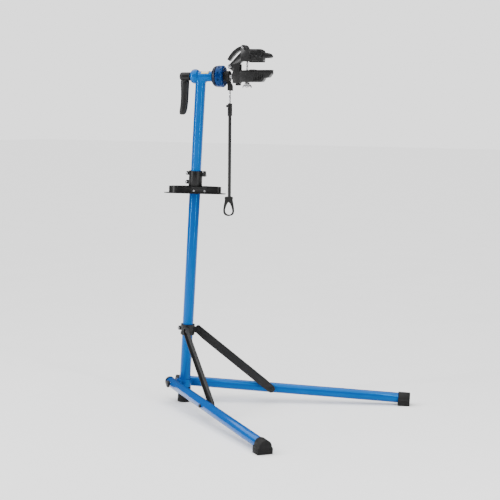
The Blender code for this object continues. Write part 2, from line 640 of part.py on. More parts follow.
# ---- clamp -----------------------------------------------------------------------------
def build_rotor():
    """The turning half of the head: drum, neck, spindle, clamp body and lower jaw."""
    empty = pivot("clamp_rotation", HEAD @ Vector((0.1, 0, 0)))
    outer = arc((DRUM_X0 + 0.006, DRUM_R - 0.006), 0.006, 180, 90, 2)
    outer += arc((DRUM_X1 - 0.007, DRUM_R - 0.007), 0.007, 90, 0, 2)
    profile = [(radius, x) for x, radius in outer]
    profile += [(0.0330, DRUM_X1), (0.0310, DRUM_X1 - 0.003), (SPINDLE_R + GAP, DRUM_X1 - 0.003),
                (SPINDLE_R + GAP, DRUM_X0)]
    drum = turned("drum", profile, "X", sides=30)
    for k in range(10):
        turn = 2 * math.pi * k / 10
        centre = ((DRUM_R + 0.0055) * math.cos(turn), (DRUM_R + 0.0055) * math.sin(turn))
        dimple = rod("dimple", 0.0085, DRUM_X1 - 0.015, DRUM_X1 + 0.005, centre, "X", SMALL)
        cut(drum, dimple)
    finish(drum, "blue_paint", HEAD, empty)

    neck = turned("neck", [(NECK_R - 0.002, DRUM_X1 - 0.003 + GAP), (NECK_R, DRUM_X1 + 0.001),
                           (NECK_R, NECK_END - 0.002), (NECK_R - 0.002, NECK_END),
                           (SPINDLE_R + GAP, NECK_END), (SPINDLE_R + GAP, DRUM_X1 - 0.003 + GAP)],
                  "X", sides=ROUND)
    finish(neck, "black_plastic", HEAD, empty)

    spindle = rod("spindle", SPINDLE_R, -0.0440, 0.1460, axis="X", sides=FINE)
    join(spindle, rod("thread", 0.0068, -0.0690, -0.0430, axis="X", sides=FINE))
    finish(spindle, "steel", HEAD, empty)

    # clamp body: a casting behind the jaws, carrying the ears for the upper jaw's pivot
    px, pz = JAW_PIVOT
    body = slab("clamp_body", [(0.1385, -0.0270), (0.1660, -0.0270), (0.1660, 0.0480),
                               (0.1500, 0.0480), (0.1385, 0.0330)], -JAW_HALF, JAW_HALF, "Y")
    ear = slab("ear", [(0.1560, 0.0180), (0.1560, 0.0470)]
               + arc((px, pz), 0.0100, 90, 270, 6) + [(0.1400, 0.0180)],
               -JAW_HALF, JAW_HALF, "Y")
    join(body, ear)
    bevelled(body, 0.0015)
    join(body, rod("boss", 0.0180, 0.1350, 0.1400, axis="X", sides=FINE))
    cut(body, rod("spindle_bore", SPINDLE_R + GAP, 0.12, 0.1465, axis="X", sides=FINE))
    cut(body, block("arm_slot", (0.1000, -0.0093, 0.0240), (0.1700, 0.0093, 0.0600)))
    cut(body, rod("pin_hole", PIVOT_R, -0.05, 0.05, (px, pz), "Y", SMALL))
    finish(body, "grey_cast", HEAD, empty)
    foot = block("clamp_block", (0.1475, -0.0110, -0.0360), (0.1660, 0.0110, -0.0270 - GAP))
    finish(bevelled(foot, 0.002), "black_plastic", HEAD, empty)

    pin = screw("jaw_pivot_bolt", 0.0070, 0.0035, PIVOT_R - 0.0003, -JAW_HALF - GAP,
                JAW_HALF + 0.0050, (px, pz), "Y", 1, FINE)
    join(pin, rod("nut", 0.0068, JAW_HALF + GAP, JAW_HALF + 0.0042, (px, pz), "Y", 6))
    finish(pin, "steel", HEAD, empty)

    jaw = slab("lower_jaw", [
        (0.1660 + GAP, -0.0225), (0.2560, -0.0225), (0.2640, -0.0175), (0.2680, -0.0070),
        (0.2860, -0.0045), (0.2970, 0.0130), (0.2970, 0.0195), (0.1660 + GAP, 0.0195)],
        -JAW_HALF, JAW_HALF, "Y")
    bevelled(jaw, 0.0015)
    for side in (-1, 1):
        for k in range(4):
            x = 0.2300 + 0.0085 * k
            low, high = sorted((side * (JAW_HALF - 0.0030), side * (JAW_HALF + 0.01)))
            groove = block("groove", (x, low, -0.0170), (x + 0.0040, high, 0.0110))
            groove.data.transform(Matrix.Translation((x, 0, 0)) @ Matrix.Rotation(0.30 - 0.16 * k, 4, "Y")
                                  @ Matrix.Translation((-x, 0, 0)))
            cut(jaw, groove)
    cut(jaw, block("rod_slot", (ROD_X - 0.0095, -0.0045, -0.03), (ROD_X + 0.0095, 0.0045, 0.03)))
    finish(jaw, "grey_cast", HEAD, empty)

    pad = slab("lower_pad", [
        (0.1690, 0.0195 + GAP), (0.2965, 0.0195 + GAP), (0.2970, 0.0250), (0.2300, 0.0250),
        (0.2270, 0.0270), (0.2100, 0.0270), (0.2060, 0.0245), (0.1690, 0.0235)],
        -JAW_HALF - 0.0010, JAW_HALF + 0.0010, "Y")
    cut(pad, block("rod_slot", (ROD_X - 0.0115, -0.0055, 0.0), (ROD_X + 0.0115, 0.0055, 0.04)))
    cut(pad, slab("vee", [(-0.0060, 0.0300), (0.0, 0.0218), (0.0060, 0.0300)], 0.2090, 0.31, "X"))
    finish(pad, "rubber", HEAD, empty)


def build_upper_jaw():
    """Upper jaw, its arm and pad; all swing about the bolt at JAW_PIVOT."""
    px, pz = JAW_PIVOT
    empty = pivot("jaw_hinge", HEAD @ Vector((px, 0, pz)))
    body = slab("upper_jaw", [
        (0.1720, 0.0585), (0.2620, 0.0585), (0.2640, 0.0705), (0.2890, 0.0705), (0.2945, 0.0735),
        (0.2955, 0.0790), (0.2900, 0.0870), (0.2780, 0.0915), (0.2650, 0.0930),
        (0.2600, 0.1010), (0.2500, 0.1060), (0.1990, 0.1065),
        (0.1945, 0.1170), (0.1860, 0.1225), (0.1770, 0.1225), (0.1700, 0.1150)],
        -JAW_HALF, JAW_HALF, "Y")
    arm = slab("arm", arc((px, pz), 0.0105, 135, 290, 6)
               + [(0.1560, 0.0420), (0.1790, 0.0620), (0.1790, 0.1020), (0.1700, 0.0965)],
               -0.0088, 0.0088, "Y")
    join(body, arm)
    bevelled(body, 0.0015)
    cut(body, block("rod_slot", (ROD_X - 0.0110, -0.0048, 0.05), (ROD_X + 0.0110, 0.0048, 0.14)))
    cut(body, block("lever_slot", (0.1600, -0.0110, 0.1030), (0.1975, 0.0110, 0.14)))
    cut(body, rod("pin_hole", PIVOT_R, -0.05, 0.05, (px, pz), "Y", SMALL))
    cut(body, rod("lever_hole", 0.0030, -0.05, 0.05, LEVER_PIN, "Y", SMALL))
    finish(body, "grey_cast", HEAD, empty)

    pad = slab("upper_pad", [
        (0.2060, 0.0545), (0.2605, 0.0545), (0.2625, 0.0585 - GAP), (0.2060, 0.0585 - GAP)],
        -JAW_HALF - 0.0010, JAW_HALF + 0.0010, "Y")
    cut(pad, slab("vee", [(-0.0050, 0.0528), (0.0, 0.0572), (0.0050, 0.0528)], 0.19, 0.28, "X"))
    finish(pad, "rubber", HEAD, empty)

    knob = turned("jaw_knob", [(0.0, 0.0), (0.0145, 0.0), (0.0160, 0.0015), (0.0160, 0.0060),
                               (0.0140, 0.0080), (0.0060, 0.0085), (0.0, 0.0085)], "Z", sides=FINE)
    knob.data.transform(Matrix.Translation((0.2490, -JAW_HALF - GAP, 0.0900))
                        @ Matrix.Rotation(math.pi / 2, 4, "X"))
    finish(knob, "black_plastic", HEAD, empty)

    pin = rod("lever_pin", 0.0027, -JAW_HALF - 0.0030, JAW_HALF + 0.0030, LEVER_PIN, "Y", SMALL)
    for side in (-1, 1):
        low, high = sorted((side * (JAW_HALF + GAP), side * (JAW_HALF + 0.0030)))
        join(pin, rod("head", 0.0048, low, high, LEVER_PIN, "Y", FINE))
    finish(pin, "steel", HEAD, empty)


def build_cam_lever():
    """Curved over-centre lever on top of the upper jaw."""
    empty = pivot("cam_lever_hinge", HEAD @ Vector((LEVER_PIN[0], 0, LEVER_PIN[1])))
    spine = []
    steps = 8
    start, bend, tip = Vector((0.1800, 0.1140)), Vector((0.1440, 0.1060)), Vector((0.1185, 0.0630))
    for k in range(steps + 1):
        t = k / steps
        spine.append((1 - t) ** 2 * start + 2 * t * (1 - t) * bend + t * t * tip)
    top = []
    under = []
    for k, point in enumerate(spine):
        ahead = spine[min(k + 1, steps)] - spine[max(k - 1, 0)]
        normal = Vector((ahead.y, -ahead.x)).normalized()
        half = 0.0062 + 0.0012 * math.sin(math.pi * k / steps)
        top.append(tuple(point + normal * half))
        under.append(tuple(point - normal * half))
    lever = slab("cam_lever", top + list(reversed(under)), -0.0105, 0.0105, "Y")
    join(lever, rod("cam", 0.0085, -0.0105, 0.0105, (0.1800, 0.1145), "Y", FINE))
    bevelled(lever, 0.0015)
    cut(lever, rod("pin_hole", 0.0030, -0.05, 0.05, LEVER_PIN, "Y", SMALL))
    middle = spine[4]
    slot = block("slot", (-0.0180, -0.0030, -0.02), (0.0180, 0.0030, 0.02))
    slot.data.transform(Matrix.Translation((middle.x, 0, middle.y))
                        @ Matrix.Rotation(math.radians(-48), 4, "Y"))
    cut(lever, slot)
    finish(lever, "grey_cast", HEAD, empty)


def build_clamp_screw():
    """Saddle that tilts under the lower jaw, and the winged screw that turns in it."""
    empty = pivot("screw_tilt", HEAD @ Vector((ROD_X, 0, SADDLE_Z)))
    saddle = slab("screw_saddle", arc((ROD_X, SADDLE_Z), SADDLE_R, 0, 180, 10), -0.0100, 0.0100, "Y")
    cut(saddle, rod("bore", ROD_R + 0.0003, -0.05, 0.0, (ROD_X, 0.0), "Z", FINE))
    finish(saddle, "steel", HEAD, empty)

    turn = pivot("screw_spin", HEAD @ Vector((ROD_X, 0, -0.05)))
    wing = turned("wing_screw", [
        (0.0, -0.0440), (0.0048, -0.0440), (0.0060, -0.0425), (0.0070, SADDLE_Z - GAP),
        (ROD_R, SADDLE_Z - GAP), (ROD_R, 0.1000), (ROD_R - 0.001, 0.1010), (0.0, 0.1010)],
        "Z", (ROD_X, 0.0), 24)
    for side in (-1, 1):
        outline = [(side * 0.0040, -0.0325), (side * 0.0130, -0.0325), (side * 0.0185, -0.0365),
                   (side * 0.0195, -0.0460), (side * 0.0160, -0.0460), (side * 0.0130, -0.0410),
                   (side * 0.0040, -0.0405)]
        leaf = slab("leaf", [(ROD_X + a, b) for a, b in outline], -0.0018, 0.0018, "Y")
        join(wing, leaf)
    finish(wing, "steel", HEAD, turn)


# ---- handlebar holder --------------------------------------------------------------------
def mirrored(half, centre):
    """Close a half outline of (half width, height) points about a vertical line."""
    right = [(centre + width, height) for width, height in half]
    left = [(centre - width, height) for width, height in reversed(half) if width > 0.0]
    return right + left


def build_holder():
    """Rod hung from the neck by a rubber strap, with a tube that slides on it."""
    swing = pivot("holder_swing", HEAD @ Vector((HOLDER_X, 0, 0)))
    strap = pipe("holder_strap", NECK_R + 0.0040, NECK_R + 0.0006, STRAP_X0, STRAP_X1,
                 axis="X", sides=ROUND)
    tail = slab("tail", [(STRAP_X0 + 0.0010, -0.0170), (STRAP_X1, -0.0170), (HOLDER_X + 0.0105, -0.0360),
                         (HOLDER_X + 0.0115, -0.0565), (HOLDER_X - 0.0095, -0.0550),
                         (HOLDER_X - 0.0095, -0.0360)],
                -0.0048, 0.0048, "Y")
    join(strap, tail)
    cut(strap, rod("clear", NECK_R + 0.0006, STRAP_X0 - 0.01, STRAP_X1 + 0.02, axis="X", sides=ROUND))
    cut(strap, rod("rod_hole", 0.0031 + GAP, -0.0700, -0.0400, (HOLDER_X, 0.0), "Z", SMALL))
    finish(strap, "rubber", HEAD, swing)
    inner = rod("holder_rod", 0.0031, -0.3300, -0.0403, (HOLDER_X, 0.0), "Z", FINE)
    finish(inner, "steel", HEAD, swing)

    slide = pivot("holder_slide", HEAD @ Vector((HOLDER_X, 0, -0.15)))
    tube = pipe("holder_tube", HOLDER_TUBE_R, HOLDER_TUBE_R - 0.0015, -0.4930, -0.1250,
                (HOLDER_X, 0.0), "Z", FINE)
    finish(tube, "black_paint", HEAD, slide)
    collar = turned("holder_collar", [
        (0.0036, -0.1060), (0.0088, -0.1060), (0.0094, -0.1075), (0.0094, -0.1540),
        (0.0088, -0.1560), (HOLDER_TUBE_R + GAP, -0.1560), (HOLDER_TUBE_R + GAP, -0.1247),
        (0.0036, -0.1247)], "Z", (HOLDER_X, 0.0), 32)
    cut(collar, rod("screw_hole", 0.0022, HOLDER_X - 0.0130, HOLDER_X, (0.0, -0.1165), "X", TINY))
    finish(collar, "black_plastic", HEAD, slide)
    knob = rod("holder_knob", 0.0050, HOLDER_X - 0.0150, HOLDER_X - 0.0108, (0.0, -0.1165), "X", SMALL)
    join(knob, rod("stud", 0.0019, HOLDER_X - 0.0112, HOLDER_X - 0.0036, (0.0, -0.1165), "X", TINY))
    finish(knob, "black_plastic", HEAD, pivot("holder_knob_axis", HEAD @ Vector((HOLDER_X, 0, -0.1165))))

    # rubber loop, a flat band bent to a pear-shaped ring with a socket for the tube's end
    loop_x = HOLDER_X - 0.0025
    loop = slab("holder_loop", mirrored(LOOP_OUTER, loop_x), -0.0070, 0.0070, "Y")
    cut(loop, slab("inside", mirrored(LOOP_INNER, loop_x), -0.02, 0.02, "Y"))
    cut(loop, rod("socket", HOLDER_TUBE_R + GAP, -0.4930 - GAP, -0.40, (HOLDER_X, 0.0), "Z", FINE))
    for height in (-0.5300, -0.5150):
        cut(loop, rod("button_hole", 0.0021, HOLDER_X + 0.005, HOLDER_X + 0.04, (0.0, height), "X", TINY))
    finish(loop, "rubber", HEAD, slide)


def main():
    for old in list(bpy.data.objects):
        bpy.data.objects.remove(old)
    build_base()
    build_height_collar()
    build_tray()
    build_leg_collar()
    for side, word in ((-1, "left"), (1, "right")):
        build_leg(side, word)
        build_strut(side, word)
    build_upper_mast()
    build_lock_handle()
    build_rotor()
    build_upper_jaw()
    build_cam_lever()
    build_clamp_screw()
    build_holder()


main()
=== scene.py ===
"""Looks of the bike repair stand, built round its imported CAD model.

Local frames (mast, leg, clamp head) come from the record's joints, and the main sizes
from the extents of the CAD nodes. Outlines of details are in metres in those frames.
"""
import json
import math
import bmesh
import bpy
import numpy as np
from mathutils import Matrix, Vector


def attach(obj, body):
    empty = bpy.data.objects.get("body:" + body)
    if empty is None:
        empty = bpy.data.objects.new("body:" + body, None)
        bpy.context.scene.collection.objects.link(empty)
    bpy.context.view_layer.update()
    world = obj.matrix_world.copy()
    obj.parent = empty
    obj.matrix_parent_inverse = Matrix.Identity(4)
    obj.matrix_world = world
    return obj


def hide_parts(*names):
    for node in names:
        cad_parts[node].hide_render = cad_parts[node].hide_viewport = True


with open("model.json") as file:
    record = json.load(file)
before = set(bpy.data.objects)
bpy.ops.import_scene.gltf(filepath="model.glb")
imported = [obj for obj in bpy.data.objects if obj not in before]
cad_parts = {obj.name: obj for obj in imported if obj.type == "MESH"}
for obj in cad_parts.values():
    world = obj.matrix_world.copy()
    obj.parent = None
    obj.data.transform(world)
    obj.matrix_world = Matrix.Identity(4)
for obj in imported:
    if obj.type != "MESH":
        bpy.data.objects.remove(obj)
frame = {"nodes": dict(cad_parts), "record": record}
RECORD = frame["record"]
NODES = frame["nodes"]
JOINTS = {joint["name"]: joint for joint in RECORD["behaviour"]["joints"]}
BODY_OF = {node: body for body, nodes in RECORD["behaviour"]["bodies"].items() for node in nodes}
SLOT_OF = {part["node"]: part["material_slot"] for part in RECORD["subparts"]}
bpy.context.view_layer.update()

SIDES = 96                # sides of the large turned pieces
FLAT = math.radians(32)   # edges sharper than this stay sharp


# ---- frames ------------------------------------------------------------------------
def axes(x, z, origin=(0.0, 0.0, 0.0)):
    """A frame with the given X and Z directions."""
    x, z = Vector(x).normalized(), Vector(z).normalized()
    y = z.cross(x)
    turn = Matrix((x, y, z)).transposed().to_4x4()
    return Matrix.Translation(origin) @ turn


MAST_UP = Vector(JOINTS["mast_height"]["axis"]).normalized()
MAST = axes(Vector((0.0, 1.0, 0.0)).cross(MAST_UP), MAST_UP)
HEAD_AXIS = Vector(JOINTS["clamp_rotation"]["axis"]).normalized()
HEAD_HEIGHT = JOINTS["clamp_rotation"]["pos_m"][2]
HEAD = axes(HEAD_AXIS, (0, 0, 1), MAST_UP * (HEAD_HEIGHT / MAST_UP.z))
SCREW_X = (HEAD.inverted() @ Vector(JOINTS["screw_tilt"]["pos_m"])).x   # the winged screw, along the head


def leg_frame(word):
    """+X along the leg, +Z along the mast."""
    across = -Vector(JOINTS["leg_fold_" + word]["axis"])
    return axes(across.cross(MAST_UP), MAST_UP)


def extent(node, place):
    """Lowest and highest corner of a CAD node, measured along a local frame's axes."""
    mesh = NODES[node].data
    points = np.empty(len(mesh.vertices) * 3)
    mesh.vertices.foreach_get("co", points)
    points = points.reshape(-1, 3)
    back = np.array(place.inverted())
    local = points @ back[:3, :3].T + back[:3, 3]
    return Vector(local.min(axis=0)), Vector(local.max(axis=0))


# ---- materials ---------------------------------------------------------------------
NOISE_LOW, NOISE_HIGH = 0.3, 0.7   # the part of a noise signal that blends and remaps use
GLOSS_TO_PATCH = 3.1               # gloss varies in smaller patches than colour


def new_material(name, colour, roughness, **inputs):
    """A Principled material; returns it with its nodes, links and shader."""
    made = bpy.data.materials.new(name)
    made.use_nodes = True
    nodes, links = made.node_tree.nodes, made.node_tree.links
    shader = nodes["Principled BSDF"]
    shader.inputs["Base Color"].default_value = (*colour, 1.0)
    shader.inputs["Roughness"].default_value = roughness
    for key, value in inputs.items():
        shader.inputs[key.replace("_", " ")].default_value = value
    return made, nodes, links, shader


def noise(nodes, links, scale, detail, roughness=0.55):
    """Noise in the object's own coordinates, in features per metre."""
    coords = nodes.new("ShaderNodeTexCoord")
    made = nodes.new("ShaderNodeTexNoise")
    made.inputs["Scale"].default_value = scale
    made.inputs["Detail"].default_value = detail
    made.inputs["Roughness"].default_value = roughness
    links.new(coords.outputs["Object"], made.inputs["Vector"])
    return made.outputs["Fac"]


def ramp(nodes, links, source, low, high):
    """Blend between two colours over a noise signal."""
    made = nodes.new("ShaderNodeValToRGB")
    ends = zip(made.color_ramp.elements, (NOISE_LOW, NOISE_HIGH), (low, high))
    for element, position, colour in ends:
        element.position = position
        element.color = (*colour, 1.0)
    links.new(source, made.inputs["Fac"])
    return made.outputs["Color"]


def remap(nodes, links, source, low, high):
    """Map a noise signal to low..high."""
    made = nodes.new("ShaderNodeMapRange")
    made.inputs["From Min"].default_value = NOISE_LOW
    made.inputs["From Max"].default_value = NOISE_HIGH
    made.inputs["To Min"].default_value = low
    made.inputs["To Max"].default_value = high
    links.new(source, made.inputs["Value"])
    return made.outputs["Result"]


def bump(nodes, links, shader, height, distance):
    """Bump the shader's normal by a height signal times a distance in metres."""
    made = nodes.new("ShaderNodeBump")
    made.inputs["Distance"].default_value = distance
    made.inputs["Strength"].default_value = 1.0
    links.new(height, made.inputs["Height"])
    links.new(made.outputs["Normal"], shader.inputs["Normal"])


def mottled(name, dark, light, rough, patch, grain, depth, **inputs):
    """A surface with soft patches of colour and gloss over a fine grain.

    patch and grain are in features per metre, and depth is the grain's height in metres.
    """
    middle = [(a + b) / 2 for a, b in zip(dark, light)]
    rough_low, rough_high = rough
    made, nodes, links, shader = new_material(name, middle, (rough_low + rough_high) / 2, **inputs)
    patches = noise(nodes, links, patch, 4.0)
    links.new(ramp(nodes, links, patches, dark, light), shader.inputs["Base Color"])
    gloss = noise(nodes, links, patch * GLOSS_TO_PATCH, 5.0)
    links.new(remap(nodes, links, gloss, rough_low, rough_high), shader.inputs["Roughness"])
    fine = noise(nodes, links, grain, 2.0, roughness=0.4)
    bump(nodes, links, shader, fine, depth)
    return made


BLUE = mottled(
    "gloss sky-blue paint", (0.000, 0.062, 0.270), (0.000, 0.072, 0.310), rough=(0.12, 0.18),
    patch=9.0, grain=240.0, depth=0.00001, Specular_IOR_Level=0.7, Specular_Tint=(0.06, 0.50, 1.0, 1.0))
DEEP_BLUE = mottled(
    "gloss deep blue paint", (0.000, 0.010, 0.070), (0.000, 0.016, 0.100), rough=(0.16, 0.26),
    patch=22.0, grain=300.0, depth=0.00001, Specular_IOR_Level=0.4, Specular_Tint=(0.20, 0.55, 1.0, 1.0))
NAVY = mottled(
    "near-black blue paint", (0.002, 0.004, 0.014), (0.003, 0.008, 0.024), rough=(0.24, 0.36),
    patch=30.0, grain=400.0, depth=0.00002, Specular_IOR_Level=0.2)
COAT = mottled(
    "satin black powder coat", (0.006, 0.006, 0.0064), (0.010, 0.010, 0.010), rough=(0.34, 0.46),
    patch=30.0, grain=1400.0, depth=0.00002, Specular_IOR_Level=0.28)
PLASTIC = mottled(
    "moulded black plastic", (0.003, 0.003, 0.0034), (0.006, 0.0058, 0.006), rough=(0.28, 0.42),
    patch=40.0, grain=1900.0, depth=0.00002, Specular_IOR_Level=0.28)
RUBBER = mottled(
    "black rubber", (0.005, 0.005, 0.0055), (0.009, 0.0088, 0.0085), rough=(0.58, 0.76),
    patch=50.0, grain=900.0, depth=0.00004, Specular_IOR_Level=0.22)
CAST = mottled(
    "dark grey casting", (0.007, 0.007, 0.0074), (0.013, 0.013, 0.0132), rough=(0.26, 0.38),
    patch=55.0, grain=320.0, depth=0.00001, Specular_IOR_Level=0.34)
STEEL = mottled(
    "bright plated steel", (0.30, 0.30, 0.31), (0.42, 0.42, 0.43), rough=(0.18, 0.32),
    patch=60.0, grain=1100.0, depth=0.00002, Metallic=1.0)
LABEL = mottled(
    "pale yellow sticker", (0.62, 0.52, 0.20), (0.70, 0.60, 0.26), rough=(0.32, 0.42),
    patch=120.0, grain=900.0, depth=0.00002)
PATCH = mottled(
    "whitish patch on the sticker", (0.60, 0.61, 0.62), (0.68, 0.68, 0.68), rough=(0.32, 0.42),
    patch=120.0, grain=900.0, depth=0.00002)
OF_SLOT = {"blue_paint": BLUE, "black_paint": COAT, "black_plastic": PLASTIC, "rubber": RUBBER,
           "steel": STEEL, "grey_cast": CAST, "label": LABEL}


# ---- modelling tools -----------------------------------------------------------------
def linked(bm, name):
    """Link a closed bmesh as an object with its faces pointing out."""
    bmesh.ops.recalc_face_normals(bm, faces=bm.faces)
    if bm.calc_volume(signed=True) < 0.0:
        bmesh.ops.reverse_faces(bm, faces=bm.faces)
    mesh = bpy.data.meshes.new(name)
    bm.to_mesh(mesh)
    bm.free()
    made = bpy.data.objects.new(name, mesh)
    bpy.context.collection.objects.link(made)
    return made


TURN_TO = {"Z": Matrix.Identity(4), "X": Matrix.Rotation(math.pi / 2, 4, "Y"),
           "Y": Matrix.Rotation(-math.pi / 2, 4, "X")}


def lathe(name, profile, axis="Z", centre=(0.0, 0.0), sides=SIDES, shape=None):
    """Turn a closed (radius, height) outline about an axis; shape(angle, radius, height)
    may return another radius."""
    bm = bmesh.new()
    rings = []
    for radius, height in profile:
        if radius <= 0.0:
            rings.append([bm.verts.new((0.0, 0.0, height))])
            continue
        ring = []
        for k in range(sides):
            angle = 2 * math.pi * (k + 0.5) / sides
            out = shape(angle, radius, height) if shape else radius
            ring.append(bm.verts.new((out * math.cos(angle), out * math.sin(angle), height)))
        rings.append(ring)
    for low, high in zip(rings, rings[1:] + rings[:1]):
        if len(low) == 1 and len(high) == 1:
            continue
        for k in range(sides):
            j = (k + 1) % sides
            corners = [low[k % len(low)], low[j % len(low)], high[j % len(high)], high[k % len(high)]]
            bm.faces.new(list(dict.fromkeys(corners)))
    a, b = centre
    place = {"Z": (a, b, 0.0), "X": (0.0, a, b), "Y": (a, 0.0, b)}[axis]
    bm.transform(Matrix.Translation(place) @ TURN_TO[axis])
    return linked(bm, name)


def rod(name, radius, start, end, axis="Z", centre=(0.0, 0.0), edge=0.0004, sides=48):
    """A solid rod with rounded ends."""
    profile = [(0.0, start), (radius - edge, start), (radius - edge * 0.3, start + edge * 0.3),
               (radius, start + edge), (radius, end - edge), (radius - edge * 0.3, end - edge * 0.3),
               (radius - edge, end), (0.0, end)]
    return lathe(name, profile, axis, centre, sides)


def pipe(name, outer, inner, start, end, axis="Z", centre=(0.0, 0.0), edge=0.0005, sides=SIDES):
    """A tube with rounded lips."""
    profile = [(outer, start + edge), (outer, end - edge), (outer - edge * 0.3, end - edge * 0.3),
               (outer - edge, end), (inner, end), (inner, start), (outer - edge, start),
               (outer - edge * 0.3, start + edge * 0.3)]
    return lathe(name, profile, axis, centre, sides)


def slab(name, outline, start, end, axis="Y"):
    """Extrude an outline along an axis: (x, z) points for Y, (x, y) for Z, (y, z) for X."""
    lift = {"Y": lambda a, b: (a, start, b), "Z": lambda a, b: (a, b, start),
            "X": lambda a, b: (start, a, b)}[axis]
    bm = bmesh.new()
    face = bm.faces.new([bm.verts.new(lift(a, b)) for a, b in outline])
    grown = bmesh.ops.extrude_face_region(bm, geom=[face])
    step = {"X": Vector((1, 0, 0)), "Y": Vector((0, 1, 0)), "Z": Vector((0, 0, 1))}[axis]
    moved = [item for item in grown["geom"] if isinstance(item, bmesh.types.BMVert)]
    bmesh.ops.translate(bm, vec=step * (end - start), verts=moved)
    return linked(bm, name)


def block(name, low, high):
    """A box between two corners."""
    outline = [(low[0], low[1]), (high[0], low[1]), (high[0], high[1]), (low[0], high[1])]
    return slab(name, outline, low[2], high[2], "Z")


def arc(centre, radius, first, last, steps):
    """Points on a circular arc, angles in degrees."""
    turns = [math.radians(first + (last - first) * k / steps) for k in range(steps + 1)]
    return [(centre[0] + radius * math.cos(turn), centre[1] + radius * math.sin(turn)) for turn in turns]


def smooth_line(points, steps):
    """A closed outline through the points, as a Catmull-Rom curve in that many steps a span."""
    out = []
    count = len(points)
    for k in range(count):
        p0, p1, p2, p3 = (Vector(points[(k + d) % count]) for d in (-1, 0, 1, 2))
        for i in range(steps):
            t = i / steps
            out.append(tuple(0.5 * ((2 * p1) + (p2 - p0) * t + (2 * p0 - 5 * p1 + 4 * p2 - p3) * t * t
                                    + (3 * p1 - 3 * p2 + p3 - p0) * t ** 3)))
    return out


def baked(target):
    """Apply an object's modifiers."""
    graph = bpy.context.evaluated_depsgraph_get()
    mesh = bpy.data.meshes.new_from_object(target.evaluated_get(graph))
    target.modifiers.clear()
    target.data = mesh
    return target


def combine(target, tool, operation):
    """Apply a boolean to target, and remove the tool."""
    modifier = target.modifiers.new("boolean", "BOOLEAN")
    modifier.operation = operation
    modifier.solver = "EXACT"
    modifier.object = tool
    baked(target)
    bpy.data.objects.remove(tool)
    return target


def cut(target, *tools):
    """Cut the tools out of target."""
    for tool in tools:
        combine(target, tool, "DIFFERENCE")
    return target


def join(target, *tools):
    """Add the tools to target."""
    for tool in tools:
        combine(target, tool, "UNION")
    return target


def rounded(target, width, segments=3, angle=35):
    """Round an object's edges that are sharper than an angle in degrees."""
    modifier = target.modifiers.new("bevel", "BEVEL")
    modifier.width = width
    modifier.segments = segments
    modifier.limit_method = "ANGLE"
    modifier.angle_limit = math.radians(angle)
    modifier.use_clamp_overlap = True
    modifier.harden_normals = False
    return baked(target)


def put(piece, material, place, node, flat=FLAT):
    """Place a piece and shade it, and let it stand for a CAD node on the node's body."""
    piece.data.transform(place)
    piece.data.materials.clear()
    piece.data.materials.append(material)
    piece.data.shade_smooth()
    piece.data.set_sharp_from_angle(angle=flat)
    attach(piece, BODY_OF[node])
    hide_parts(node)


MERGE_GAP = 0.00001                # vertices closer than this are one
COPLANAR = math.radians(0.5)       # faces closer in angle than this are one


def copied(node):
    """A linked copy of a CAD node, to be finished."""
    made = bpy.data.objects.new(node + "_finished", NODES[node].data.copy())
    bpy.context.collection.objects.link(made)
    return made


def refined(node, width, segments):
    """A copy of a CAD node with rounded edges, standing for it."""
    copy = copied(node)
    bm = bmesh.new()
    bm.from_mesh(copy.data)
    bmesh.ops.remove_doubles(bm, verts=bm.verts, dist=MERGE_GAP)
    bmesh.ops.dissolve_limit(bm, angle_limit=COPLANAR, verts=bm.verts, edges=bm.edges)
    bm.to_mesh(copy.data)
    bm.free()
    rounded(copy, width, segments, 40)
    put(copy, OF_SLOT[SLOT_OF[node]], Matrix.Identity(4), node)


# ---- mast, base and legs ---------------------------------------------------------------
def tube_piece(node, place, axis, wall=0.0016):
    """A round tube of the CAD's size, with many sides and rounded lips."""
    low, high = extent(node, place)
    middle = (low + high) / 2
    along = "XYZ".index(axis)
    across = [k for k in range(3) if k != along]
    radius = (high[across[0]] - low[across[0]]) / 2
    centre = (middle[across[0]], middle[across[1]])
    piece = pipe(node + "_finished", radius, radius - wall, low[along], high[along], axis, centre)
    put(piece, OF_SLOT[SLOT_OF[node]], place, node)


def build_base():
    """Lower tube, base bracket and the mast's rubber foot, whose sole lies flat on the floor."""
    tube_piece("lower_tube", MAST, "Z", 0.0012)
    _, high = extent("mast_foot", MAST)
    radius, top = high.x, high.z
    foot = lathe("mast_foot_finished", [
        (0.0, 0.0), (radius - 0.0030, 0.0), (radius - 0.0008, 0.0008), (radius - 0.0001, 0.0030),
        (radius - 0.0002, 0.010), (radius - 0.0012, 0.0106), (radius - 0.0012, 0.0124),
        (radius - 0.0004, 0.0130),
        (radius - 0.0016, top - 0.004), (radius - 0.0024, top - 0.001), (radius - 0.0036, top),
        (0.0, top)])
    sole_height = 0.002
    tilt = MAST.inverted()
    sole = [vert for vert in foot.data.vertices if vert.co.z < sole_height]
    for vert in sole:
        flat_point = MAST @ vert.co
        flat_point.z = max(0.0, vert.co.z)
        vert.co = tilt @ flat_point
    put(foot, RUBBER, MAST, "mast_foot")
    refined("base_bracket", 0.0008, 3)


